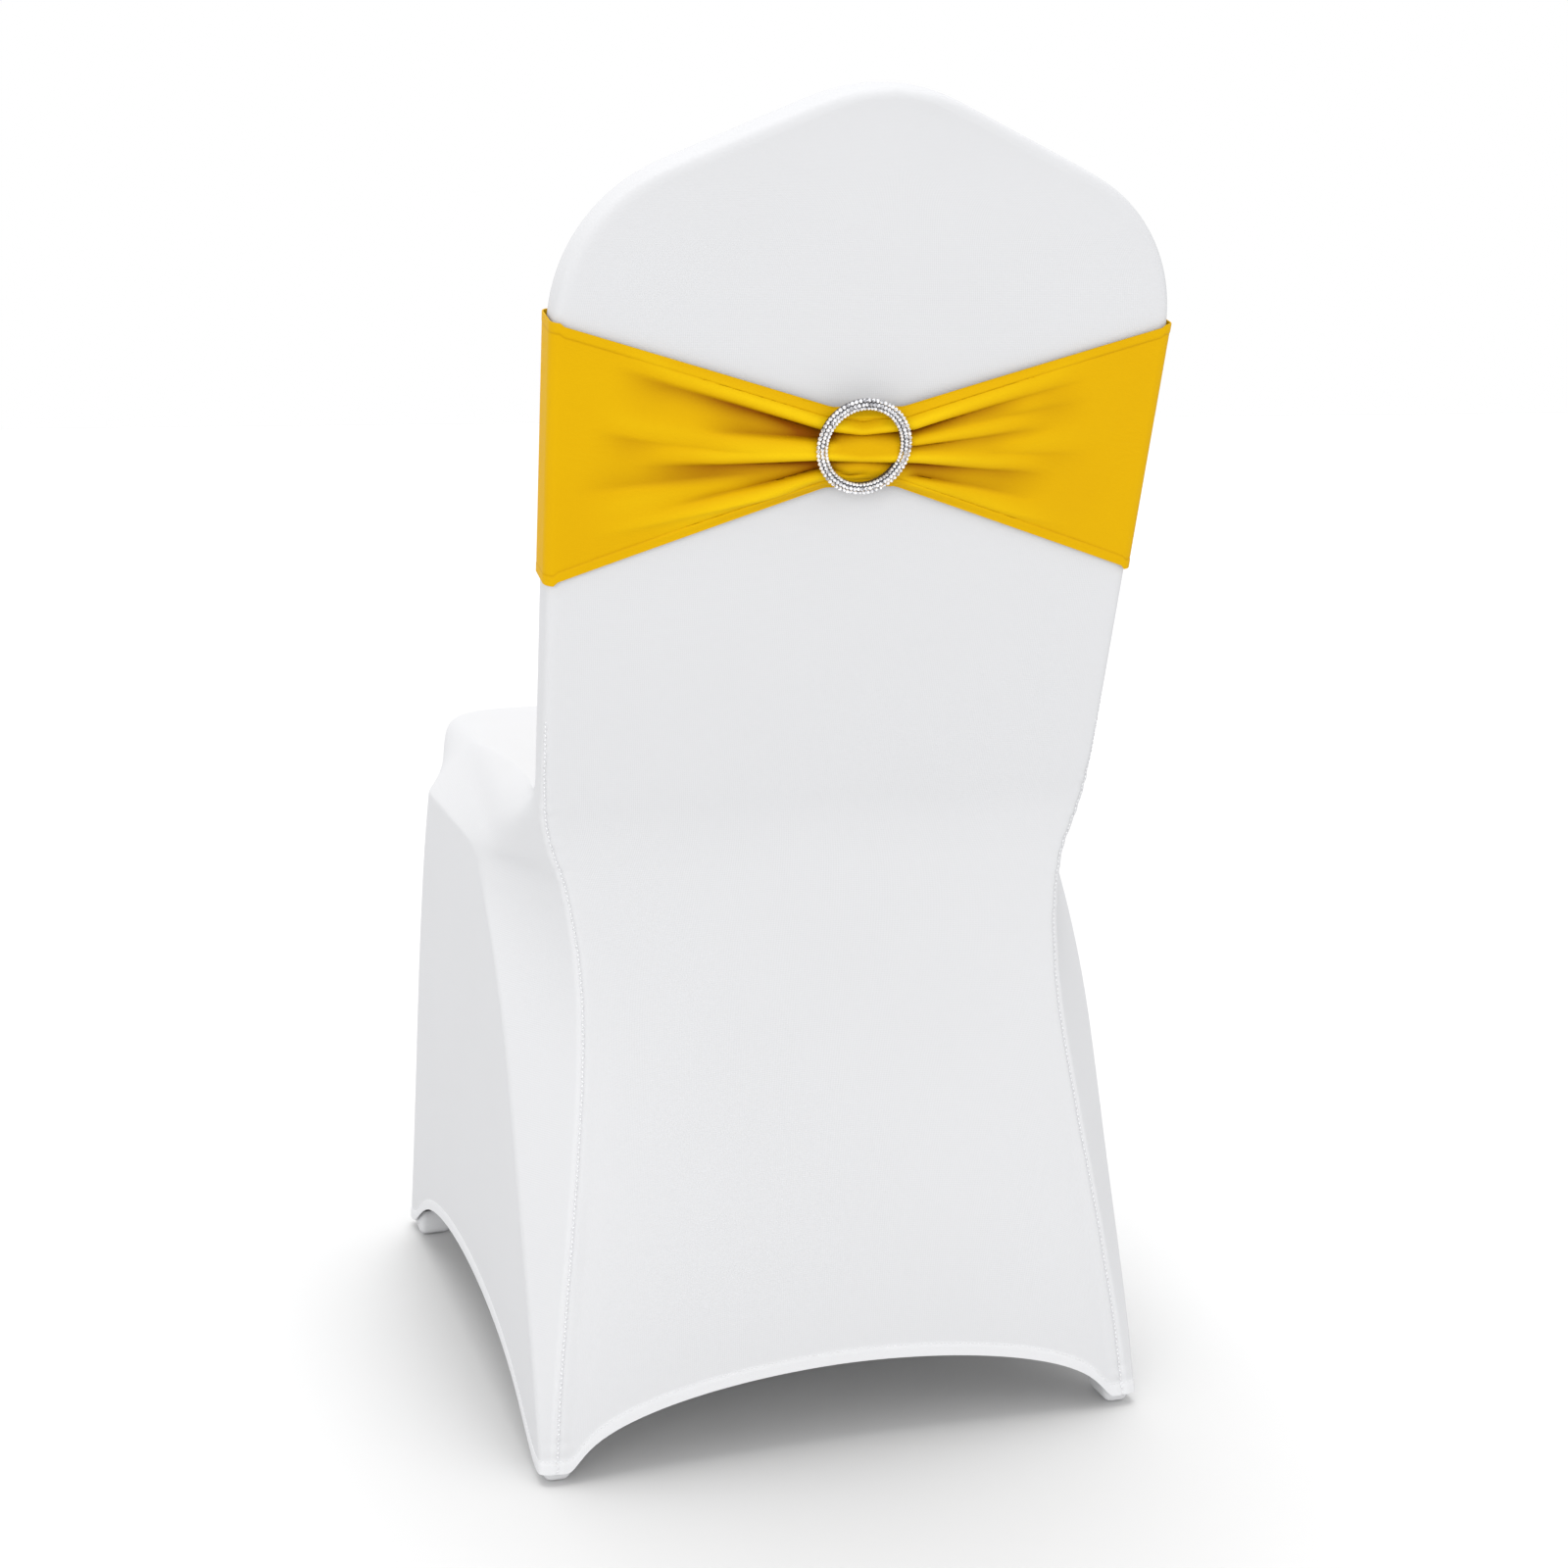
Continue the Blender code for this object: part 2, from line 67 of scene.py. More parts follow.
# Corners of a half ring: rear seam, rear ridge, front ridge, seat corner (x, y, z); front centre (y, z)
SEAT_ROWS = (
    ((0.2005, 0.1963, 0.470), (0.2010, 0.182, 0.470), (0.2005, 0.1670, 0.4700),
     (0.110, 0.1630, 0.4700), (0.1630, 0.4700)),
    ((0.2002, 0.1945, 0.464), (0.2020, 0.177, 0.465), (0.1960, 0.1420, 0.4620),
     (0.110, 0.1400, 0.4620), (0.1400, 0.4620)),
    ((0.1995, 0.1920, 0.456), (0.2035, 0.170, 0.458), (0.1885, 0.1000, 0.4590),
     (0.110, 0.0950, 0.4600), (0.0950, 0.4605)),
    ((0.1985, 0.1890, 0.447), (0.2065, 0.158, 0.449), (0.1815, 0.0400, 0.4575),
     (0.110, 0.0200, 0.4595), (0.0200, 0.4600)),
    ((0.1965, 0.1865, 0.437), (0.2095, 0.143, 0.440), (0.1835, -0.0400, 0.4570),
     (0.130, -0.0800, 0.4590), (-0.0850, 0.4600)),
    ((0.1940, 0.1850, 0.428), (0.2125, 0.128, 0.431), (0.1885, -0.0900, 0.4555),
     (0.165, -0.1850, 0.4580), (-0.1900, 0.4595)),
    ((0.1915, 0.1842, 0.420), (0.2150, 0.115, 0.423), (0.1920, -0.1160, 0.4520),
     (0.182, -0.2760, 0.4565), (-0.2800, 0.4585)),
    ((0.1890, 0.1838, 0.414), (0.2170, 0.105, 0.416), (0.1980, -0.1250, 0.4440),
     (0.193, -0.2980, 0.4480), (-0.2985, 0.4480)),
    ((0.1870, 0.1835, 0.408), (0.2191, 0.089, 0.411), (0.2100, -0.1310, 0.4300),
     (0.192, -0.2975, 0.4320), (-0.2985, 0.4315)),
    ((0.1845, 0.1840, 0.400), (0.2212, 0.068, 0.404), (0.2262, -0.1370, 0.4110),
     (0.178, -0.2760, 0.4190), (-0.2890, 0.4190)),
)
# z at the leg, then the corners in plan, and the front centre's y
SKIRT_ROWS = (
    (0.385, (0.1800, 0.1865), (0.2222, 0.0820), (0.2272, -0.1500), (0.166, -0.2620), -0.2845),
    (0.350, (0.1757, 0.1930), (0.2216, 0.1140), (0.2277, -0.1680), (0.156, -0.2530), -0.2815),
    (0.300, (0.1768, 0.2030), (0.2212, 0.1460), (0.2282, -0.1880), (0.150, -0.2500), -0.2790),
    (0.250, (0.1825, 0.2145), (0.2212, 0.1665), (0.2288, -0.2050), (0.148, -0.2510), -0.2765),
    (0.190, (0.1900, 0.2265), (0.2213, 0.1875), (0.2294, -0.2220), (0.146, -0.2540), -0.2735),
    (0.130, (0.1985, 0.2375), (0.2214, 0.2105), (0.2300, -0.2390), (0.145, -0.2580), -0.2700),
    (0.070, (0.2060, 0.2465), (0.2217, 0.2335), (0.2306, -0.2565), (0.144, -0.2625), -0.2665),
    (0.035, (0.2088, 0.2503), (0.2219, 0.2440), (0.2311, -0.2665), (0.143, -0.2650), -0.2645),
    (HEM_Z, (0.2110, 0.2535), (0.2220, 0.2505), (0.2315, -0.2740), (0.143, -0.2675), -0.2625),
)
REAR_CENTRE_PULL = 0.004
# How far from each corner its rounding starts; a corner takes at most a share of the straight beside it
SEAM_SET, RIDGE_SET, SEAT_CORNER_SET = 0.007, 0.010, (0.095, 0.055)
SHARP_SET, WIDE_SET, SKIRT_SIDE_SET = 0.001, 0.02, 0.03
REAR_RIDGE_SET = 0.004
SEAT_RIDGE_SETS = (0.001, 0.005, 0.012, 0.022, 0.030, 0.038, 0.044, 0.046, 0.040, 0.020)   # one a seat row
SET_REACH, SEAM_REACH = 0.45, 0.9
CROWN_SET_LIMIT = 3.0   # times SEAM_SET, where the crown's outline is flat
CREASE_COLUMNS = 3      # over which the crease starts, forward of the rear ridge
MIRROR = np.array([-1.0, 1.0, 1.0])
TO_ROW_FRAME = np.array([0, CENTRE_Y, 0])


def on_back(x, s, n):
    """A point of the leaning backrest: s up along it, n out of its rear."""
    y = BACK_Y + s * math.sin(RECLINE) + n * math.cos(RECLINE)
    return np.array([x, y, BACK_Z + s * math.cos(RECLINE) - n * math.sin(RECLINE)])


def bulge(x, half):
    return FRONT_BULGE * max(1 - (x / half) ** 2, 0.0) if half > 0 else 0.0


def crown_outline():
    """(x, s) from the peak down to the left shoulder."""
    turn = math.pi / 2 - CROWN_SLOPE
    shoulder = [
        (SHOULDER_HALF - SHOULDER_R * (1 - math.cos(a)), SHOULDER_S + SHOULDER_R * math.sin(a))
        for a in np.linspace(turn, 0, SHOULDER_STEPS)
    ]
    half, s = shoulder[0]
    peak_half = PEAK_R * math.sin(CROWN_SLOPE)
    base = s + (half - peak_half) * math.tan(CROWN_SLOPE)
    peak = [
        (PEAK_R * math.sin(a), base + PEAK_R * (math.cos(a) - math.cos(CROWN_SLOPE)))
        for a in np.linspace(0, CROWN_SLOPE, PEAK_STEPS)
    ]
    middle = [
        (peak_half + (half - peak_half) * t, base + (s - base) * t) for t in (0.25, 0.5, 0.75)
    ]
    return peak + middle + shoulder


def ring_row(corners, before, after):
    """Points of a half ring through its corners, each rounded from before it to after it."""
    corners = [np.asarray(c, float) for c in corners]
    starts, ends = [corners[0]], []
    for i in range(1, len(corners) - 1):
        back = corners[i - 1] - corners[i]
        ahead = corners[i + 1] - corners[i]
        reach = SET_REACH if i > 1 else SEAM_REACH
        ends.append(corners[i] + back * min(before[i - 1] / max(np.linalg.norm(back), 1e-9), reach))
        starts.append(corners[i] + ahead * min(after[i - 1] / max(np.linalg.norm(ahead), 1e-9), SET_REACH))
    ends.append(corners[-1])
    points = []
    for i, count in enumerate(STRAIGHTS):
        for k in range(count):
            points.append(starts[i] + (ends[i] - starts[i]) * spread(i, k / count))
        if i == len(STRAIGHTS) - 1:
            points.append(ends[i])
            break
        for k in range(CORNER_SEGS):
            t = k / CORNER_SEGS
            points.append((1 - t) ** 2 * ends[i] + 2 * t * (1 - t) * corners[i + 1] + t * t * starts[i + 1])
    return np.array(points)


def spread(run, t):
    """Steps closer together toward the seams and ridges."""
    if run == 0:
        return math.sin(t * math.pi / 2)
    if run == 2:
        return (1 - math.cos(t * math.pi)) / 2
    return t


def column_of_corner(corner):
    return sum(STRAIGHTS[:corner]) + CORNER_SEGS * (corner - 1) + CORNER_SEGS // 2


def back_row(half, s, flat):
    """A half ring round the backrest; flat widens its rounding where the outline runs flat."""
    corners = [
        on_back(0, s, HALF_THICK),
        on_back(half, s, HALF_THICK),
        on_back(half, s, 0),
        on_back(half, s, -HALF_THICK),
        on_back(half * FRONT_CORNER_SHARE, s, -HALF_THICK - bulge(half * FRONT_CORNER_SHARE, half)),
        on_back(0, s, -HALF_THICK - bulge(0, half)),
    ]
    wide = SEAM_SET * flat
    return ring_row(corners, (wide, SHARP_SET, SEAM_SET, WIDE_SET), (SEAM_SET, SHARP_SET, wide, WIDE_SET))


def crown_rows():
    rows = []
    outline = crown_outline()
    for i, (half, s) in enumerate(outline):
        left, right = outline[max(i - 1, 0)], outline[min(i + 1, len(outline) - 1)]
        run = math.hypot(right[0] - left[0], right[1] - left[1])
        flat = min(run / max(abs(left[1] - right[1]), 1e-6), CROWN_SET_LIMIT)
        rows.append(back_row(half, s, flat))
    return rows


def backrest_rows():
    rows = []
    for z in BACK_ROWS_Z:
        half = SHOULDER_HALF - WIDTH_SLOPE * (BACK_Z - z)
        rows.append(back_row(half, (z - BACK_Z) / math.cos(RECLINE), 1.0))
    return rows


def seat_rows():
    rows = []
    for i, (seam, rear, front, corner, centre) in enumerate(SEAT_ROWS):
        share = i / (len(SEAT_ROWS) - 1)
        round_side = max(SEAT_CORNER_SET[0] * share, WIDE_SET)
        round_front = WIDE_SET + (SEAT_CORNER_SET[1] - WIDE_SET) * share
        rear_set = SEAT_RIDGE_SETS[i]
        rows.append(ring_row(
            ((0, seam[1], seam[2]), seam, rear, front, corner, (0, centre[0], centre[1])),
            (SEAM_SET, rear_set, RIDGE_SET, round_side),
            (SEAM_SET, rear_set, RIDGE_SET, round_front),
        ))
    return rows


def arch(offset, half_span, rise):
    """Height of a hem's arch at a distance from its middle."""
    share = min(abs(offset) / half_span, 1.0)
    return HEM_Z + rise * math.sqrt(1 - share * share)


def hem_height(column, point):
    if column <= column_of_corner(1):
        return arch(point[0], *REAR_ARCH)
    if column >= column_of_corner(3):
        return arch(point[0], *FRONT_ARCH)
    return arch(point[1] - SIDE_ARCH_Y, *SIDE_ARCH)


def skirt_rows(top):
    plans = []
    for z, seam, rear, front, corner, centre in SKIRT_ROWS:
        share = (SEAT_ROWS[-1][2][2] - z) / (SEAT_ROWS[-1][2][2] - HEM_Z)
        ring = [(0, seam[1] - REAR_CENTRE_PULL * share, 0)]
        ring += [(*p, 0) for p in (seam, rear, front, corner)] + [(0, centre, 0)]
        set_side = SEAT_CORNER_SET[0] * (1 - share) + SKIRT_SIDE_SET
        plans.append((share, ring_row(
            ring,
            (SEAM_SET, REAR_RIDGE_SET, RIDGE_SET, set_side),
            (SEAM_SET, REAR_RIDGE_SET, RIDGE_SET, SEAT_CORNER_SET[1]),
        )))
    rows = []
    for share, plan in plans:
        row = plan.copy()
        for column in range(len(row)):
            low = hem_height(column, plans[-1][1][column])
            row[column][2] = top[column][2] + (low - top[column][2]) * share
        rows.append(row)
    return rows


def crease_row(above, below):
    """Doubles the seat's last row forward of the rear ridges, for a crisp crease under the seat's edge."""
    ridge = column_of_corner(2)
    share = np.clip((np.arange(len(above)) - ridge - 1) / CREASE_COLUMNS, 0, 1)[:, None]
    return above * (1 + share) / 2 + below * (1 - share) / 2


def bspline(points, fine):
    """Uniform cubic B-spline along the first axis, which has one extra point at each end."""
    spans = len(points) - 3
    out = []
    for i in range(spans):
        p0, p1, p2, p3 = points[i:i + 4]
        for k in range(fine + (i == spans - 1)):
            t = k / fine
            out.append((
                (1 - t) ** 3 * p0
                + (3 * t ** 3 - 6 * t ** 2 + 4) * p1
                + (-3 * t ** 3 + 3 * t ** 2 + 3 * t + 1) * p2
                + t ** 3 * p3
            ) / 6)
    return np.array(out)


def master_surface():
    """(rows, columns, 3) of fine points of the left half, and the rows where panels meet."""
    rows = crown_rows() + backrest_rows()
    waist = len(rows)
    rows += seat_rows()
    skirt = skirt_rows(rows[-1])
    rows.append(crease_row(rows[-1], skirt[0]))
    rows += skirt
    net = np.array(rows)
    above = net[1] * MIRROR                    # over the peak, onto the other half
    below = 2 * net[-1] - net[-2]
    net = np.concatenate([[above], net, [below]])
    rear, front = net[:, 1:2] * MIRROR, net[:, -2:-1] * MIRROR
    net = np.concatenate([rear, net, front], axis=1)
    fine = bspline(net, FINE)
    fine = bspline(fine.transpose(1, 0, 2), FINE).transpose(1, 0, 2)
    return rounded_crown(fine, (len(crown_outline()) + 1) * FINE), waist * FINE


def rounded_crown(fine, last):
    """Rounds the rear and front edges of the crown's rows by their distance from its outline."""
    outline = np.array(crown_outline())
    outline = np.concatenate([outline[:0:-1] * [-1, 1], outline])
    a, b = outline[:-1], outline[1:]
    along = b - a
    radius = CROWN_EDGE_R
    flat = fine[:last].reshape(-1, 3)
    rise, run = flat[:, 2] - BACK_Z, flat[:, 1] - BACK_Y
    s = rise * math.cos(RECLINE) + run * math.sin(RECLINE)
    n = run * math.cos(RECLINE) - rise * math.sin(RECLINE)
    at = np.stack([flat[:, 0], s], axis=1)
    share = np.clip(((at[:, None] - a) * along).sum(-1) / (along ** 2).sum(-1), 0, 1)
    off = np.linalg.norm(at[:, None] - a - share[..., None] * along, axis=2).min(axis=1)
    inner = radius - np.clip(off, 0, radius)
    limit = HALF_THICK - radius + np.sqrt(np.maximum(radius ** 2 - inner ** 2, 0))
    share = np.clip(off / CROWN_EDGE_FADE, 0, 1)
    front_limit = limit + FRONT_BULGE * share ** 2 * (3 - 2 * share)
    level = np.clip(n, -front_limit, limit)
    y = BACK_Y + s * math.sin(RECLINE) + level * math.cos(RECLINE)
    z = BACK_Z + s * math.cos(RECLINE) - level * math.sin(RECLINE)
    out = fine.copy()
    out[:last] = np.stack([flat[:, 0], y, z], axis=1).reshape(out[:last].shape)
    return out


def normals_of(grid):
    """Unit normals of a grid, which point out of the cover."""
    down = np.gradient(grid, axis=0)
    across = np.gradient(grid, axis=1)
    normal = np.cross(across, down)
    length = np.linalg.norm(normal, axis=2, keepdims=True)
    return normal / np.maximum(length, 1e-12)


def sharp_rim(mesh):
    """Keeps the cut edge's thickness out of the surface's smooth shading."""
    for edge in mesh.edges:
        edge.smooth = not edge.is_boundary


def add_object(name, data):
    obj = bpy.data.objects.new(name, data)
    bpy.context.scene.collection.objects.link(obj)
    return obj


def mesh_from(shape, name, material):
    data = bpy.data.meshes.new(name)
    shape.to_mesh(data)
    shape.free()
    data.materials.append(material)
    return data


def thicken(obj, thickness, offset, even=False):
    sheet = obj.modifiers.new("Solidify", "SOLIDIFY")
    sheet.thickness = thickness
    sheet.offset = offset
    sheet.use_even_offset = even


def grid_object(name, grid, material, tone):
    """A sheet from a grid of points, with UVs in metres along its rows and columns.

    tone is -1 where shade is painted in the depth of a crease, 0 on plain cloth, and 1 where a highlight is
    painted on a lit ridge or where the double cloth is lighter.
    """
    count_r, count_c = grid.shape[:2]
    mesh = bpy.data.meshes.new(name)
    index = np.arange(count_r * count_c).reshape(count_r, count_c)
    quads = np.stack([index[:-1, :-1], index[:-1, 1:], index[1:, 1:], index[1:, :-1]], axis=-1).reshape(-1, 4)
    mesh.from_pydata((grid.reshape(-1, 3) - TO_ROW_FRAME).tolist(), [], quads.tolist())
    across = np.linalg.norm(np.diff(grid, axis=1), axis=2).mean(axis=0)
    down = np.linalg.norm(np.diff(grid, axis=0), axis=2).mean(axis=1)
    u = np.concatenate([[0], np.cumsum(across)])
    v = np.concatenate([[0], np.cumsum(down)])
    uv = np.stack(np.meshgrid(u, v), axis=-1)
    layer = mesh.uv_layers.new(name="cloth")
    loops = np.empty(len(mesh.loops), np.int32)
    mesh.loops.foreach_get("vertex_index", loops)
    layer.data.foreach_set("uv", uv.reshape(-1, 2)[loops].astype(np.float32).ravel())
    mesh.polygons.foreach_set("use_smooth", [True] * len(mesh.polygons))
    mesh.attributes.new("tone", "FLOAT", "POINT").data.foreach_set("value", tone.astype(np.float32).ravel())
    weld = bmesh.new()
    weld.from_mesh(mesh)
    bmesh.ops.remove_doubles(weld, verts=weld.verts, dist=WELD)
    sharp_rim(weld)
    weld.to_mesh(mesh)
    weld.free()
    mesh.materials.append(material)
    obj = add_object(name, mesh)
    thicken(obj, CLOTH, -1, even=True)
    return obj


def both_halves(grid, from_start):
    """The full width of a panel from its left half."""
    mirrored = grid[:, ::-1] * np.array([-1.0, 1.0, 1.0, 1.0])
    if from_start:
        return np.concatenate([mirrored[:, :-1], grid], axis=1)
    return np.concatenate([grid, mirrored[:, 1:]], axis=1)


BAND_SCALE = 0.3142             # the wave texture's scale that gives one band a unit
LOOPS_A_RIB = 0.72
RIB_WANDER, LOOP_WANDER, RIB_DETAIL = 0.6, 0.8, 1.0
KNIT_RELIEF = 0.0002
MOTTLE_DETAIL = 3.0
CLOTH_SHINE = 0.06


def shader(name, colour, roughness):
    material = bpy.data.materials.new(name)
    material.use_nodes = True
    tree = material.node_tree
    bsdf = tree.nodes["Principled BSDF"]
    bsdf.inputs["Base Color"].default_value = (*colour, 1)
    bsdf.inputs["Roughness"].default_value = roughness
    return material, tree, bsdf


def knit_material(name, colour, dark, crease_shade, double_and_highlight, roughness, pitch, bump, mottle_scale):
    """Fine knit: ribs along v, loops across them, slow uneven dye, painted shade in creases, and a lighter
    tone for double cloth that also paints highlights on lit ridges.
    """
    material, tree, bsdf = shader(name, colour, roughness)
    new = tree.nodes.new
    link = tree.links.new
    coords = new("ShaderNodeUVMap")
    coords.uv_map = "cloth"
    scale = new("ShaderNodeMapping")
    scale.inputs["Scale"].default_value = (1 / pitch, LOOPS_A_RIB / pitch, 1)
    link(coords.outputs["UV"], scale.inputs["Vector"])
    ribs = new("ShaderNodeTexWave")
    ribs.bands_direction = "X"
    ribs.inputs["Scale"].default_value = BAND_SCALE
    ribs.inputs["Distortion"].default_value = RIB_WANDER
    ribs.inputs["Detail"].default_value = RIB_DETAIL
    link(scale.outputs["Vector"], ribs.inputs["Vector"])
    loops = new("ShaderNodeTexWave")
    loops.bands_direction = "Y"
    loops.inputs["Scale"].default_value = BAND_SCALE
    loops.inputs["Distortion"].default_value = LOOP_WANDER
    link(scale.outputs["Vector"], loops.inputs["Vector"])
    both = new("ShaderNodeMix")
    both.inputs["Factor"].default_value = 0.5
    link(ribs.outputs["Fac"], both.inputs["A"])
    link(loops.outputs["Fac"], both.inputs["B"])
    raised = new("ShaderNodeBump")
    raised.inputs["Strength"].default_value = bump
    raised.inputs["Distance"].default_value = KNIT_RELIEF
    link(both.outputs["Result"], raised.inputs["Height"])
    link(raised.outputs["Normal"], bsdf.inputs["Normal"])
    place = new("ShaderNodeTexCoord")
    mottle = new("ShaderNodeTexNoise")
    mottle.inputs["Scale"].default_value = mottle_scale
    mottle.inputs["Detail"].default_value = MOTTLE_DETAIL
    link(place.outputs["Object"], mottle.inputs["Vector"])
    mix = new("ShaderNodeMix")
    mix.data_type = "RGBA"
    mix.inputs["A"].default_value = (*colour, 1)
    mix.inputs["B"].default_value = (*dark, 1)
    link(mottle.outputs["Fac"], mix.inputs["Factor"])
    tone = new("ShaderNodeAttribute")
    tone.attribute_name = "tone"
    result = mix.outputs["Result"]
    # Below zero, tone mixes in painted shade; above zero, it mixes in the lighter double cloth on the cover
    # and a painted highlight on the sash.
    for sign, other in ((-1.0, crease_shade), (1.0, double_and_highlight)):
        share = new("ShaderNodeMath")
        share.operation = "MULTIPLY"
        share.use_clamp = True
        share.inputs[1].default_value = sign
        link(tone.outputs["Fac"], share.inputs[0])
        toned = new("ShaderNodeMix")
        toned.data_type = "RGBA"
        toned.inputs["B"].default_value = (*other, 1)
        link(share.outputs["Value"], toned.inputs["Factor"])
        link(result, toned.inputs["A"])
        result = toned.outputs["Result"]
    link(result, bsdf.inputs["Base Color"])
    bsdf.inputs["Specular IOR Level"].default_value = CLOTH_SHINE
    return material


def sheet_piece(obj, nodes):
    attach(obj, "root")
    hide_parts(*nodes)


WHITE = (0.575, 0.578, 0.590)
# The darker tone is painted shade along the rear seam's groove; the lighter one is the double cloth of the
# hems and seam allowances.
WHITE_CLOTH = knit_material(
    "white_knit", WHITE, dark=(0.560, 0.563, 0.574), crease_shade=(0.46, 0.465, 0.48), double_and_highlight=(0.615, 0.618, 0.630),
    roughness=0.9, pitch=0.0011, bump=0.25, mottle_scale=9.0,
)
YELLOW = (0.600, 0.350, 0.0)
# The darker tone is painted shade in the folds and along the stitch lines; the lighter one is a painted
# highlight on the lit ridges.
YELLOW_CLOTH = knit_material(
    "yellow_knit", YELLOW, dark=(0.575, 0.318, 0.0), crease_shade=(0.215, 0.060, 0.0), double_and_highlight=(0.675, 0.435, 0.002),
    roughness=0.6, pitch=0.0009, bump=0.3, mottle_scale=14.0,
)
WHITE_THREAD = knit_material(
    "white_thread", (0.80, 0.805, 0.815), dark=(0.76, 0.765, 0.775), crease_shade=WHITE, double_and_highlight=WHITE,
    roughness=0.6, pitch=0.0004, bump=0.1, mottle_scale=60.0,
)
YELLOW_THREAD = knit_material(
    "yellow_thread", (0.66, 0.42, 0.01), dark=(0.58, 0.34, 0.006), crease_shade=YELLOW, double_and_highlight=YELLOW,
    roughness=0.5, pitch=0.0004, bump=0.1, mottle_scale=60.0,
)

# Hems and seams
DOUBLE_STEP = 0.0012            # over which double cloth rises, or its tone starts
HEM_TONE_STEP = 0.001
HEM_GROOVE, HEM_GROOVE_SET, HEM_GROOVE_SHARE = 0.0007, 0.0014, 1.2
HEM_PARTS = 4                   # times as many rows near the hem
# Tone of the double seam allowance, then painted shade along the seam's groove and that shade's width
SEAM_DOUBLE_TONE, SEAM_GROOVE_SHADE, SEAM_GROOVE = 0.4, 0.45, 0.0016
SEAM_DRAW, SEAM_DRAW_WIDTH = 0.0008, 0.0022
PUCKER_HEIGHT, PUCKER_WIDTH, PUCKER_FADE = 0.0003, 0.007, 0.02
PUCKERS = ((0.0135, 1.0, 0.0), (0.0087, 0.6, 1.3))      # wavelength, share, phase
# Stitches: pitch, length, width, slant
SEAM_STITCH = (0.0032, 0.0034, 0.0012, 0.6)
HEM_STITCH = (0.0030, 0.0022, 0.0006, 0.0)
SASH_STITCH = (0.0025, 0.0018, 0.0006, 0.0)
STITCH_RISE = 0.15              # of a stitch's width, above the cloth
HEM_STITCH_LINE, SASH_STITCH_LINE = 0.0088, 0.0066      # from the edge


def hem_thickening(grid, width, lift):
    """Lifts the turned-up hem along the last rows, with the stitch line's groove at its top edge."""
    moved = grid.copy()
    normal = normals_of(grid)
    away = np.linalg.norm(grid - grid[-1:], axis=2)
    rise = np.clip((width - away) / DOUBLE_STEP, 0, 1)
    groove = np.exp(-((away - (width - HEM_GROOVE_SET)) / HEM_GROOVE) ** 2)
    moved += normal * (lift * rise - lift * HEM_GROOVE_SHARE * groove)[..., None]
    return moved


def double_at_hem(grid, width):
    """1 where the hem is turned up, fading to 0 over a millimetre above its stitch line."""
    away = np.linalg.norm(grid - grid[-1:], axis=2)
    return np.clip((width - away) / HEM_TONE_STEP + 0.5, 0, 1)


def refine_last(grid, rows, parts):
    """More rows near the hem."""
    head, tail = grid[:-rows], grid[-rows - 1:]
    steps = np.linspace(0, rows, rows * parts + 1)
    low = np.minimum(steps.astype(int), rows - 1)
    share = (steps - low)[:, None, None]
    fine = tail[low] * (1 - share) + tail[low + 1] * share
    return np.concatenate([head, fine[1:]])


def seam_tone(surface, seam, waist):
    """The seam allowance lies double behind the rear seam, on the side away from the rear centre; shade is
    painted along the seam's groove.
    """
    along = np.linalg.norm(surface - surface[:, seam:seam + 1], axis=2)
    tone = np.clip((SEAM_ALLOWANCE - along) / DOUBLE_STEP + 0.5, 0, 1) * SEAM_DOUBLE_TONE
    tone[:, :seam] = 0
    # Painted shade along the seam's groove
    tone -= SEAM_GROOVE_SHADE * np.exp(-(along / SEAM_GROOVE) ** 2)
    tone[:waist - 2 * FINE] = 0
    return tone


def puckered(surface, seam, waist):
    """Draws the rear seam in by small uneven puckers, below the waist."""
    along = np.linalg.norm(surface - surface[:, seam:seam + 1], axis=2)
    steps = np.linalg.norm(np.diff(surface[:, seam], axis=0), axis=1)
    run = np.concatenate([[0], np.cumsum(steps)])[:, None]
    wave = sum(share * np.sin(run * 2 * math.pi / length + phase) for length, share, phase in PUCKERS)
    below = np.clip((run - run[waist - FINE]) / PUCKER_FADE, 0, 1)
    draw = SEAM_DRAW * np.exp(-(along / SEAM_DRAW_WIDTH) ** 2)
    draw = draw + PUCKER_HEIGHT * wave * np.exp(-(along / PUCKER_WIDTH) ** 2)
    return surface - normals_of(surface) * (draw * below)[..., None]


def make_cover():
    surface, waist = master_surface()
    surface = refine_last(surface, FINE, HEM_PARTS)
    tone = double_at_hem(surface, HEM_WIDTH)
    surface = hem_thickening(surface, HEM_WIDTH, HEM_LIFT)
    seam, ridge = column_of_corner(1) * FINE, column_of_corner(3) * FINE
    tone = np.clip(tone + seam_tone(surface, seam, waist), -1, 1)
    surface = puckered(surface, seam, waist)
    layers = np.concatenate([surface, tone[..., None]], axis=2)
    back = both_halves(layers[:, :seam + 1], True)
    obj = grid_object("cover_back", back[..., :3], WHITE_CLOTH, back[..., 3])
    sheet_piece(obj, ["back_panel"])
    for side, sign in (("left", 1), ("right", -1)):
        part = layers[waist:, seam:ridge + 1] * np.array([sign, 1.0, 1.0, 1.0])
        part = part if sign > 0 else part[:, ::-1]
        obj = grid_object(f"cover_side_{side}", part[..., :3], WHITE_CLOTH, part[..., 3])
        sheet_piece(obj, [f"side_panel_{side}"])
    make_front(layers, waist, seam, ridge)
    make_cover_stitches(surface, seam, waist)


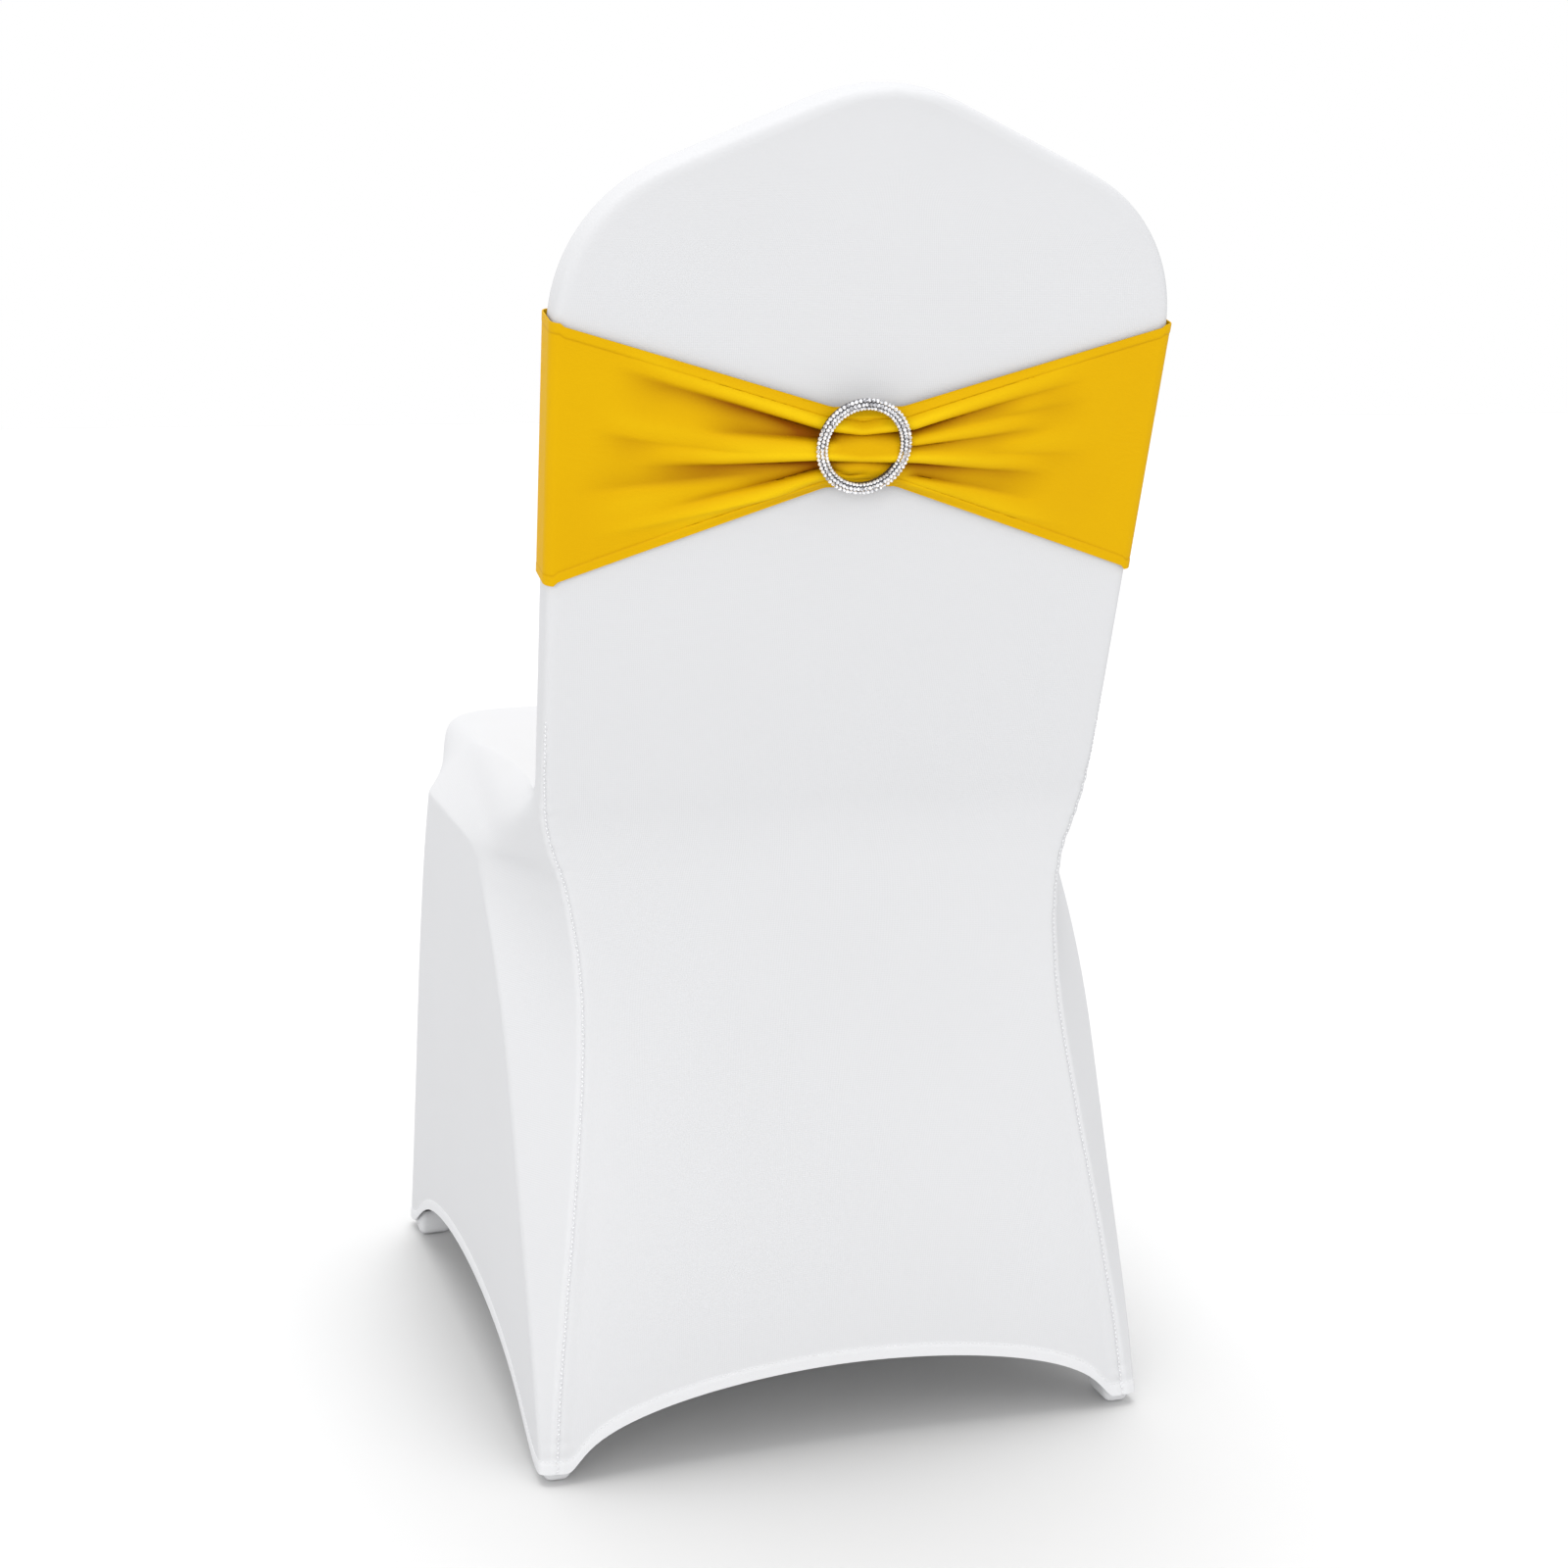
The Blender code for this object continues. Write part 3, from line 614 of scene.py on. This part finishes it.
def make_front(layers, waist, seam, ridge):
    """Above the waist the front panel reaches round to the rear seam, and below it only to the ridges."""
    upper = both_halves(layers[:waist + 1, seam:], False)
    lower = both_halves(layers[waist:, ridge:], False)
    top = grid_object("cover_front", upper[..., :3], WHITE_CLOTH, upper[..., 3])
    rest = grid_object("cover_front_skirt", lower[..., :3], WHITE_CLOTH, lower[..., 3])
    join = bmesh.new()
    join.from_mesh(top.data)
    join.from_mesh(rest.data)
    bmesh.ops.remove_doubles(join, verts=join.verts, dist=WELD)
    sharp_rim(join)
    join.to_mesh(top.data)
    join.free()
    bpy.data.objects.remove(rest, do_unlink=True)
    sheet_piece(top, ["front_panel"])


def place_on(run, values, at):
    """The value at a distance along a line of points."""
    return np.array([np.interp(at, run, values[:, i]) for i in range(3)])


def stitch_object(name, lines, material):
    """Short stitches along lines of (points, normals, pitch, length, width, slant)."""
    mesh = bmesh.new()
    for points, normals, pitch, long, wide, slant in lines:
        steps = np.linalg.norm(np.diff(points, axis=0), axis=1)
        run = np.concatenate([[0], np.cumsum(steps)])
        for k in range(int(run[-1] / pitch)):
            here = place_on(run, points, (k + 0.5) * pitch)
            normal = place_on(run, normals, (k + 0.5) * pitch)
            along = place_on(run, points, (k + 0.7) * pitch) - here
            along = along / np.linalg.norm(along)
            side = np.cross(normal, along)
            turn = slant * (1 if k % 2 else -1)
            cos, sin = math.cos(turn), math.sin(turn)
            along, side = along * cos + side * sin, side * cos - along * sin
            centre = here + normal * wide * STITCH_RISE - TO_ROW_FRAME
            ends = [mesh.verts.new(centre + along * long / 2 * e) for e in (-1, 1)]
            belt = [
                mesh.verts.new(centre + (side * math.cos(a) + normal * math.sin(a)) * wide / 2)
                for a in (0, math.pi / 2, math.pi, 3 * math.pi / 2)
            ]
            for i in range(4):
                mesh.faces.new((ends[1], belt[i], belt[(i + 1) % 4]))
                mesh.faces.new((ends[0], belt[(i + 1) % 4], belt[i]))
    for face in mesh.faces:
        face.smooth = True
    obj = add_object(name, mesh_from(mesh, name, material))
    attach(obj, "root")


def line_from_edge(grid, normals, distance):
    """Points and normals at a distance from the last row, one for each column."""
    points, ways = [], []
    for column in range(grid.shape[1]):
        path = grid[::-1, column]
        run = np.concatenate([[0], np.cumsum(np.linalg.norm(np.diff(path, axis=0), axis=1))])
        points.append(place_on(run, path, distance))
        ways.append(place_on(run, normals[::-1, column], distance))
    return np.array(points), np.array(ways)


def make_cover_stitches(surface, seam, waist):
    normals = normals_of(surface)
    start = waist - 3 * FINE
    edge = surface[start:, seam], normals[start:, seam]
    hem = line_from_edge(surface, normals, HEM_STITCH_LINE)
    lines = []
    for (points, ways), stitch in ((edge, SEAM_STITCH), (hem, HEM_STITCH)):
        for sign in (np.ones(3), MIRROR):
            lines.append((points * sign, ways * sign, *stitch))
    stitch_object("cover_stitches", lines, WHITE_THREAD)


def make_sash_stitches(grid):
    normals = normals_of(grid)
    lines = []
    for edge in (grid, grid[::-1]):
        way = normals if edge is grid else normals[::-1]
        points, ways = line_from_edge(edge, way, SASH_STITCH_LINE)
        lines.append((points, ways, *SASH_STITCH))
    stitch_object("sash_stitches", lines, YELLOW_THREAD)


POCKET_HIGH, POCKET_ROUND, POCKET_SEGS, POCKET_CLOTH = 0.024, 0.006, 6, 0.001
# Foot pockets: low and high x, low and high y, slope of the leg, and their cut cloth's side and area
POCKETS = (
    ("front", (0.2010, 0.2284, -0.2700, -0.2340), 0.27, 0.070, 0.0038),
    ("rear", (0.1990, 0.2185, 0.2150, 0.2495), -0.27, 0.060, 0.0028),
)


def make_pockets():
    for end, (low_x, high_x, low_y, high_y), slope, cut, area in POCKETS:
        for side, sign in (("left", 1), ("right", -1)):
            mesh = bmesh.new()
            bmesh.ops.create_cube(mesh, size=1)
            for vert in mesh.verts:
                vert.co.x = low_x + (vert.co.x + 0.5) * (high_x - low_x)
                vert.co.y = low_y + (vert.co.y + 0.5) * (high_y - low_y) - CENTRE_Y
                vert.co.z = (vert.co.z + 0.5) * POCKET_HIGH
            rounded = [e for e in mesh.edges if min(v.co.z for v in e.verts) < POCKET_HIGH / 2]
            bmesh.ops.bevel(
                mesh, geom=rounded, offset=POCKET_ROUND, segments=POCKET_SEGS, profile=0.5, affect="EDGES",
            )
            tops = [f for f in mesh.faces if min(v.co.z for v in f.verts) > POCKET_HIGH - WELD]
            bmesh.ops.delete(mesh, geom=tops, context="FACES_ONLY")
            for vert in mesh.verts:
                vert.co.y += slope * vert.co.z
                vert.co.x *= sign
            if sign < 0:
                bmesh.ops.reverse_faces(mesh, faces=mesh.faces)
            layer = mesh.loops.layers.uv.new("cloth")
            for face in mesh.faces:
                for loop in face.loops:
                    loop[layer].uv = (loop.vert.co.x + loop.vert.co.y, loop.vert.co.z + loop.vert.co.y)
                face.smooth = True
            name = f"pocket_{end}_{side}"
            obj = add_object(name, mesh_from(mesh, name, WHITE_CLOTH))
            thicken(obj, POCKET_CLOTH, -1)
            sheet_piece(obj, [f"foot_pocket_{end}_{side}"])


# Sash: how far it stands off the backrest's middle and sides, then s of its top and low edges
SASH_OUT, SASH_HALF = HALF_THICK + 0.0016, SHOULDER_HALF + 0.0014
SASH_SIDE = (0.000, -0.172)
SASH_FRONT, SASH_FRONT_POWER = (-0.0212, -0.1478), 2.6
SASH_RING = (-0.0535, -0.1075)
SASH_TURN_R = 0.006
SASH_HEM, SASH_HEM_LIFT = 0.0068, 0.0007
SASH_COLUMNS, SASH_HEM_ROWS, SASH_ROWS = 340, 27, 77
SASH_HEM_SHARE = 0.13   # share of the width that takes the finer rows at each hem
SASH_NARROWEST = 0.02   # width that the hems are worked out with at the least
BUNCH, BUNCH_POWER = 0.0125, 1.6        # how far the gathers stand out at the ring
DOME_EDGE, DOME_POWER = 0.02, 0.6
CREASE_DEPTH = 0.0058   # of a fold with the darkest tone
# Painted highlight on lit ridges, its cap where a fold is raised, and painted shade along the sash's stitch
# lines
LIT_TONE, LIT_LIMIT, SASH_STITCH_SHADE = 0.7, -0.5, 0.22
# A fold's profile: narrowing of its steep side, widening of its gentle side, and power
FOLD_STEEP, FOLD_GENTLE, FOLD_POWER = 2.4, 0.66, 1.4
# The lit ridge beside a fold: place and width in the fold's half widths, and height as a share of its depth
LIT_AT, LIT_WIDTH, LIT_HEIGHT = 1.7, 0.9, 0.18
# Folds of the gathered cloth on the rear: which side is the steeper (1 the upper one, -1 the lower one),
# then a line of (x, s, depth, half width), with a depth below zero for a ridge
FOLDS = (
    (1, (
        (0.172, -0.0285, 0.0, 0.010), (0.130, -0.0405, 0.0030, 0.0050), (0.080, -0.0545, 0.0058, 0.0042),
        (0.030, -0.0688, 0.0085, 0.0034), (0.004, -0.0704, 0.0042, 0.0016), (-0.032, -0.0685, 0.0075, 0.0032),
        (-0.080, -0.0560, 0.0040, 0.0045), (-0.120, -0.0455, 0.0022, 0.0055), (-0.160, -0.0360, 0.0, 0.010),
    )),
    (-1, (
        (0.120, -0.0685, 0.0, 0.009), (0.076, -0.0705, 0.0034, 0.0050), (0.031, -0.0735, 0.0048, 0.0028),
        (0.018, -0.0738, 0.0, 0.002),
    )),
    (1, (
        (0.160, -0.0935, 0.0, 0.009), (0.095, -0.0916, 0.0040, 0.0040), (0.031, -0.0878, 0.0075, 0.0028),
        (0.004, -0.0880, 0.0036, 0.0016), (-0.033, -0.0905, 0.0065, 0.0030),
        (-0.090, -0.0975, 0.0028, 0.0042), (-0.145, -0.1035, 0.0, 0.009),
    )),
    (-1, (
        (0.150, -0.1250, 0.0, 0.010), (0.089, -0.1096, 0.0034, 0.0050), (0.064, -0.1038, 0.0046, 0.0040),
        (0.030, -0.0942, 0.0056, 0.0026), (0.012, -0.0952, 0.0, 0.002),
    )),
    (-1, (
        (0.190, -0.1400, 0.0, 0.010), (0.130, -0.1275, -0.0020, 0.0070), (0.060, -0.1120, -0.0020, 0.0048),
        (0.030, -0.1040, 0.0, 0.004),
    )),
    (1, (
        (-0.018, -0.0780, 0.0, 0.002), (-0.034, -0.0784, 0.0045, 0.0024), (-0.080, -0.0745, 0.0026, 0.0038),
        (-0.140, -0.0688, 0.0, 0.008),
    )),
    (-1, (
        (-0.026, -0.0985, 0.0, 0.003), (-0.040, -0.1010, 0.0040, 0.0030), (-0.080, -0.1085, 0.0022, 0.0045),
        (-0.140, -0.1215, 0.0, 0.009),
    )),
    (-1, (
        (-0.060, -0.1135, 0.0, 0.005), (-0.115, -0.1290, -0.0014, 0.0065), (-0.165, -0.1420, 0.0, 0.010),
    )),
    (1, (
        (0.024, -0.0595, 0.0, 0.002), (0.004, -0.0620, 0.0016, 0.0012), (-0.016, -0.0600, 0.0, 0.002),
    )),
    (-1, (
        (0.024, -0.0945, 0.0, 0.002), (0.010, -0.0985, 0.0022, 0.0013), (-0.006, -0.0960, 0.0, 0.002),
    )),
    (1, (
        (0.185, -0.0700, 0.0, 0.010), (0.150, -0.0760, 0.0016, 0.0060), (0.095, -0.0815, 0.0014, 0.0045),
        (0.060, -0.0830, 0.0, 0.004),
    )),
    (-1, (
        (0.195, -0.1080, 0.0, 0.010), (0.150, -0.1040, 0.0014, 0.0060), (0.100, -0.0990, 0.0018, 0.0045),
        (0.055, -0.0950, 0.0, 0.004),
    )),
    (1, (
        (-0.075, -0.0850, 0.0, 0.004), (-0.115, -0.0870, 0.0014, 0.0050), (-0.170, -0.0885, 0.0, 0.009),
    )),
    (1, (
        (-0.070, -0.0640, 0.0, 0.004), (-0.110, -0.0590, 0.0014, 0.0050), (-0.165, -0.0500, 0.0, 0.009),
    )),
)


def folds_at(x, s):
    """(how far the folds lower the cloth there, how much lit ridge there is beside their steeper sides)."""
    total, ridge = 0.0, 0.0
    for lean, line in FOLDS:
        for a, b in zip(line, line[1:]):
            if min(a[0], b[0]) <= x < max(a[0], b[0]):
                t = (x - a[0]) / (b[0] - a[0])
                middle = a[1] + (b[1] - a[1]) * t
                depth = a[2] + (b[2] - a[2]) * smoothstep(t)
                off = lean * (s - middle) / (a[3] + (b[3] - a[3]) * t)
                total += depth * math.exp(-abs(off * (FOLD_STEEP if off > 0 else FOLD_GENTLE)) ** FOLD_POWER)
                ridge += max(depth, 0.0) * math.exp(-((off - LIT_AT) / LIT_WIDTH) ** 2)
                break
    return total - LIT_HEIGHT * ridge, ridge


def smoothstep(t):
    t = min(max(t, 0.0), 1.0)
    return t * t * (3 - 2 * t)


def sash_point(u, place):
    """A point of the sash and its tone, which paints shade in the folds and along the stitch lines, and
    highlights on the lit ridges.

    u runs from 0 at the ring, round the left side and the front, to 1 at the ring again. place runs from
    0 at the top edge to 1 at the low edge. The legs are the rear's left half, a corner, the left side,
    a corner, the front, and the same back to the rear's right half.
    """
    half, turn_r = SASH_HALF, SASH_TURN_R
    flat = half - turn_r
    depth = 2 * (SASH_OUT - turn_r)
    arc = turn_r * math.pi / 2
    legs = [flat, arc, depth, arc, 2 * flat, arc, depth, arc, flat]
    total = sum(legs)
    run = u * total
    at = 0
    while at < len(legs) - 1 and run > legs[at]:
        run -= legs[at]
        at += 1
    t = run / legs[at]
    if at in (0, 8):
        x = flat * t if at == 0 else -flat * (1 - t)
        n = SASH_OUT
    elif at in (1, 7):
        a = math.pi / 2 * (t if at == 1 else 1 - t)
        x, n = flat + turn_r * math.sin(a), SASH_OUT - turn_r * (1 - math.cos(a))
        x = x if at == 1 else -x
    elif at in (2, 6):
        x = half if at == 2 else -half
        n = (SASH_OUT - turn_r) * (1 - 2 * t) * (1 if at == 2 else -1)
    elif at in (3, 5):
        a = math.pi / 2 * (t if at == 3 else 1 - t)
        x, n = flat + turn_r * math.cos(a), -(SASH_OUT - turn_r) - turn_r * math.sin(a)
        x = x if at == 3 else -x
    else:
        x, n = flat * (1 - 2 * t), -SASH_OUT
    depth, ridge = 0.0, 0.0
    if at == 4:
        share = 1 - min(abs(x) / half, 1.0) ** SASH_FRONT_POWER
        top = SASH_SIDE[0] + (SASH_FRONT[0] - SASH_SIDE[0]) * share
        low = SASH_SIDE[1] + (SASH_FRONT[1] - SASH_SIDE[1]) * share
        n -= bulge(x, half)
        gather = 0.0
    elif at in (0, 8):
        gather = min(max((half - abs(x)) / (half - RING_IN), 0.0), 1.0)
        top = SASH_SIDE[0] + (SASH_RING[0] - SASH_SIDE[0]) * gather
        low = SASH_SIDE[1] + (SASH_RING[1] - SASH_SIDE[1]) * gather
    else:
        top, low, gather = SASH_SIDE[0], SASH_SIDE[1], 0.0
    s = top + (low - top) * place
    if gather > 0:
        dome = math.sin(math.pi * min(max(place, DOME_EDGE), 1 - DOME_EDGE)) ** DOME_POWER
        depth, ridge = folds_at(x, s)
        n += BUNCH * gather ** BUNCH_POWER * dome - depth
    # The turned hems stand a little proud, with a stitch line's groove along them.
    width = max(abs(top - low), SASH_NARROWEST)
    for edge in (place, 1 - place):
        away = edge * width
        groove = math.exp(-((away - SASH_STITCH_LINE) / HEM_GROOVE) ** 2)
        n_hem = SASH_HEM_LIFT * smoothstep((SASH_HEM - away) / DOUBLE_STEP + 0.5) - SASH_HEM_LIFT * groove
        n += n_hem if n > 0 else -n_hem
    narrower = 1 + WIDTH_SLOPE * s * math.cos(RECLINE) / half
    # Painted highlight on the lit ridges and painted shade in the folds, then painted shade along the stitch
    # lines
    tone = LIT_TONE * ridge / CREASE_DEPTH - min(max(depth / CREASE_DEPTH, LIT_LIMIT), 1.0)
    away = min(place, 1 - place) * width
    tone -= SASH_STITCH_SHADE * math.exp(-((away - SASH_STITCH_LINE) / HEM_GROOVE) ** 2)
    return np.append(on_back(x * narrower, s, max(n, SASH_OUT) if at in (0, 8) else n), tone)


def make_sash():
    places = np.concatenate([
        np.linspace(0, SASH_HEM_SHARE, SASH_HEM_ROWS)[:-1],
        np.linspace(SASH_HEM_SHARE, 1 - SASH_HEM_SHARE, SASH_ROWS),
        np.linspace(1 - SASH_HEM_SHARE, 1, SASH_HEM_ROWS)[1:],
    ])
    grid = np.array([
        [sash_point(j / SASH_COLUMNS, place) for j in range(SASH_COLUMNS + 1)] for place in places
    ])[:, ::-1]
    obj = grid_object("sash", grid[..., :3], YELLOW_CLOTH, grid[..., 3])
    sheet_piece(obj, ["sash_band"])
    make_sash_stitches(grid[..., :3])


def uneven(tree, bsdf, light, dark, scale):
    """A base colour that wanders between two tones."""
    place = tree.nodes.new("ShaderNodeTexCoord")
    noise = tree.nodes.new("ShaderNodeTexNoise")
    noise.inputs["Scale"].default_value = scale
    mix = tree.nodes.new("ShaderNodeMix")
    mix.data_type = "RGBA"
    mix.inputs["A"].default_value = (*light, 1)
    mix.inputs["B"].default_value = (*dark, 1)
    tree.links.new(place.outputs["Object"], noise.inputs["Vector"])
    tree.links.new(noise.outputs["Fac"], mix.inputs["Factor"])
    tree.links.new(mix.outputs["Result"], bsdf.inputs["Base Color"])


RING_X, RING_S, RING_OUT, RING_IN = 0.0037, -0.0767, 0.0322, 0.0243
RING_LIFT, RING_THICK, RING_SEGS = 0.0002, 0.0022, 96
RING_SETS = (0.0012, 0.0009)    # of the plate's edges, from the ring's outer and inner edges
RING_STONES = 68
# Rows of stones: radius, size, shift in stones, height
STONE_ROWS = (
    (RING_OUT - 0.0012, 0.00146, 0.0, 0.0024),
    (RING_OUT - 0.0038, 0.00137, 0.5, 0.0031),
    (RING_IN + 0.0014, 0.00126, 0.0, 0.0025),
)
STONE_SIDES, STONE_TOP, STONE_HEIGHT = 8, 0.5, 0.9      # the last two are shares of its size
PLATE, PLATE_LIGHT, PLATE_DARK = (0.12, 0.12, 0.13), (0.13, 0.13, 0.14), (0.08, 0.08, 0.09)
PLATE_METAL, PLATE_ROUGH, PLATE_MOTTLE = 0.7, 0.35, 900.0
STONE, GLINT_DARK, GLINT_LIGHT = (0.9, 0.9, 0.92), (0.36, 0.36, 0.38, 1), (0.88, 0.88, 0.90, 1)
STONE_METAL, STONE_ROUGH, GLINT_SCALE, GLINT_RAMP = 0.35, 0.12, 620.0, (0.2, 0.5)


def make_ring():
    """A plate with three staggered rows of faceted stones on its face."""
    metal, tree, bsdf = shader("ring_plate", PLATE, PLATE_ROUGH)
    bsdf.inputs["Metallic"].default_value = PLATE_METAL
    uneven(tree, bsdf, PLATE_LIGHT, PLATE_DARK, PLATE_MOTTLE)
    facets, tree, bsdf = shader("ring_stones", STONE, STONE_ROUGH)
    bsdf.inputs["Metallic"].default_value = STONE_METAL
    seed = tree.nodes.new("ShaderNodeTexVoronoi")
    seed.inputs["Scale"].default_value = GLINT_SCALE
    place = tree.nodes.new("ShaderNodeTexCoord")
    tree.links.new(place.outputs["Object"], seed.inputs["Vector"])
    glint = tree.nodes.new("ShaderNodeValToRGB")
    glint.color_ramp.elements[0].position, glint.color_ramp.elements[1].position = GLINT_RAMP
    glint.color_ramp.elements[0].color = GLINT_DARK
    glint.color_ramp.elements[1].color = GLINT_LIGHT
    tree.links.new(seed.outputs["Color"], glint.inputs["Fac"])
    tree.links.new(glint.outputs["Color"], bsdf.inputs["Base Color"])
    mesh = bmesh.new()
    base = SASH_OUT + BUNCH + RING_LIFT
    bmesh.ops.create_circle(mesh, segments=RING_SEGS, radius=RING_OUT - RING_SETS[0])
    bmesh.ops.create_circle(mesh, segments=RING_SEGS, radius=RING_IN + RING_SETS[1])
    middle = (RING_OUT + RING_IN) / 2
    outer_edges = [e for e in mesh.edges if e.verts[0].co.length > middle]
    inner_edges = [e for e in mesh.edges if e.verts[0].co.length <= middle]
    bmesh.ops.bridge_loops(mesh, edges=outer_edges + inner_edges)
    bmesh.ops.recalc_face_normals(mesh, faces=mesh.faces)
    plate = add_object("ring_plate", mesh_from(mesh, "ring_plate", metal))
    thicken(plate, RING_THICK, 1)
    stones = bmesh.new()
    for radius, size, shift, high in STONE_ROWS:
        for k in range(RING_STONES):
            a = 2 * math.pi * (k + shift) / RING_STONES
            gem = bmesh.ops.create_cone(
                stones, cap_ends=True, segments=STONE_SIDES,
                radius1=size, radius2=size * STONE_TOP, depth=size * STONE_HEIGHT,
            )
            for vert in gem["verts"]:
                vert.co.z += high
                vert.co.x += radius * math.cos(a)
                vert.co.y += radius * math.sin(a)
    gems = add_object("ring_stones", mesh_from(stones, "ring_stones", facets))
    for obj in (plate, gems):
        obj.location = on_back(RING_X, RING_S, base) - TO_ROW_FRAME
        obj.rotation_euler = (-math.pi / 2 - RECLINE, 0, 0)
        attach(obj, "root")
    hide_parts("sash_ring")


FLOOR_SIZE, FLOOR_DROP, FLOOR_ROUGH, FLOOR_MOTTLE = 40, 0.0005, 0.95, 1.5
FLOOR, FLOOR_LIGHT, FLOOR_DARK = (0.66, 0.66, 0.66), (0.665, 0.665, 0.665), (0.655, 0.655, 0.655)
SKY_STRENGTH = 1.0
# Suns: the way their light goes, strength, angle in degrees
LIGHTS = (
    ("key_from_the_rear_left", (-0.55, -0.83, -0.10), 1.62, 40),
    ("fill_from_the_rear_right", (0.55, -0.83, -0.10), 0.62, 60),
    ("fill_from_above", (0.0, 0.17, -0.985), 1.6, 50),
    ("fill_from_the_front", (0.15, 0.95, -0.27), 0.7, 60),
)


def make_stage():
    bpy.ops.mesh.primitive_plane_add(size=FLOOR_SIZE, location=(0, 0, -FLOOR_DROP))
    floor = bpy.context.object
    floor.name = "floor"
    material, tree, bsdf = shader("floor_paint", FLOOR, FLOOR_ROUGH)
    bsdf.inputs["Specular IOR Level"].default_value = 0.0
    uneven(tree, bsdf, FLOOR_LIGHT, FLOOR_DARK, FLOOR_MOTTLE)
    floor.data.materials.append(material)
    world = bpy.data.worlds.new("studio")
    bpy.context.scene.world = world
    world.use_nodes = True
    sky = world.node_tree.nodes["Background"]
    sky.inputs["Color"].default_value = (1, 1, 1, 1)
    sky.inputs["Strength"].default_value = SKY_STRENGTH
    for name, way, power, softness in LIGHTS:
        light = bpy.data.lights.new(name, "SUN")
        light.energy = power
        light.angle = math.radians(softness)
        obj = add_object(name, light)
        obj.rotation_euler = Vector(way).to_track_quat("-Z", "Y").to_euler()


CAMERA_AT = (0.5130, 1.7398 - CENTRE_Y, 0.7667)
CAMERA_AZIMUTH, CAMERA_ELEVATION = 162.67, 10.55
CAMERA_SENSOR, CAMERA_LENS = 36, 54.8


def make_camera():
    camera = bpy.data.cameras.new("camera")
    camera.sensor_width = CAMERA_SENSOR
    camera.lens = CAMERA_LENS
    obj = add_object("camera", camera)
    obj.location = CAMERA_AT
    azimuth, elevation = math.radians(CAMERA_AZIMUTH), math.radians(CAMERA_ELEVATION)
    obj.rotation_euler = (math.pi / 2 - elevation, 0, azimuth)
    bpy.context.scene.camera = obj


# The cloth's whites only read true without the filmic roll-off.
bpy.context.scene.view_settings.view_transform = "Standard"
make_cover()
make_pockets()
make_sash()
make_ring()
make_stage()
make_camera()
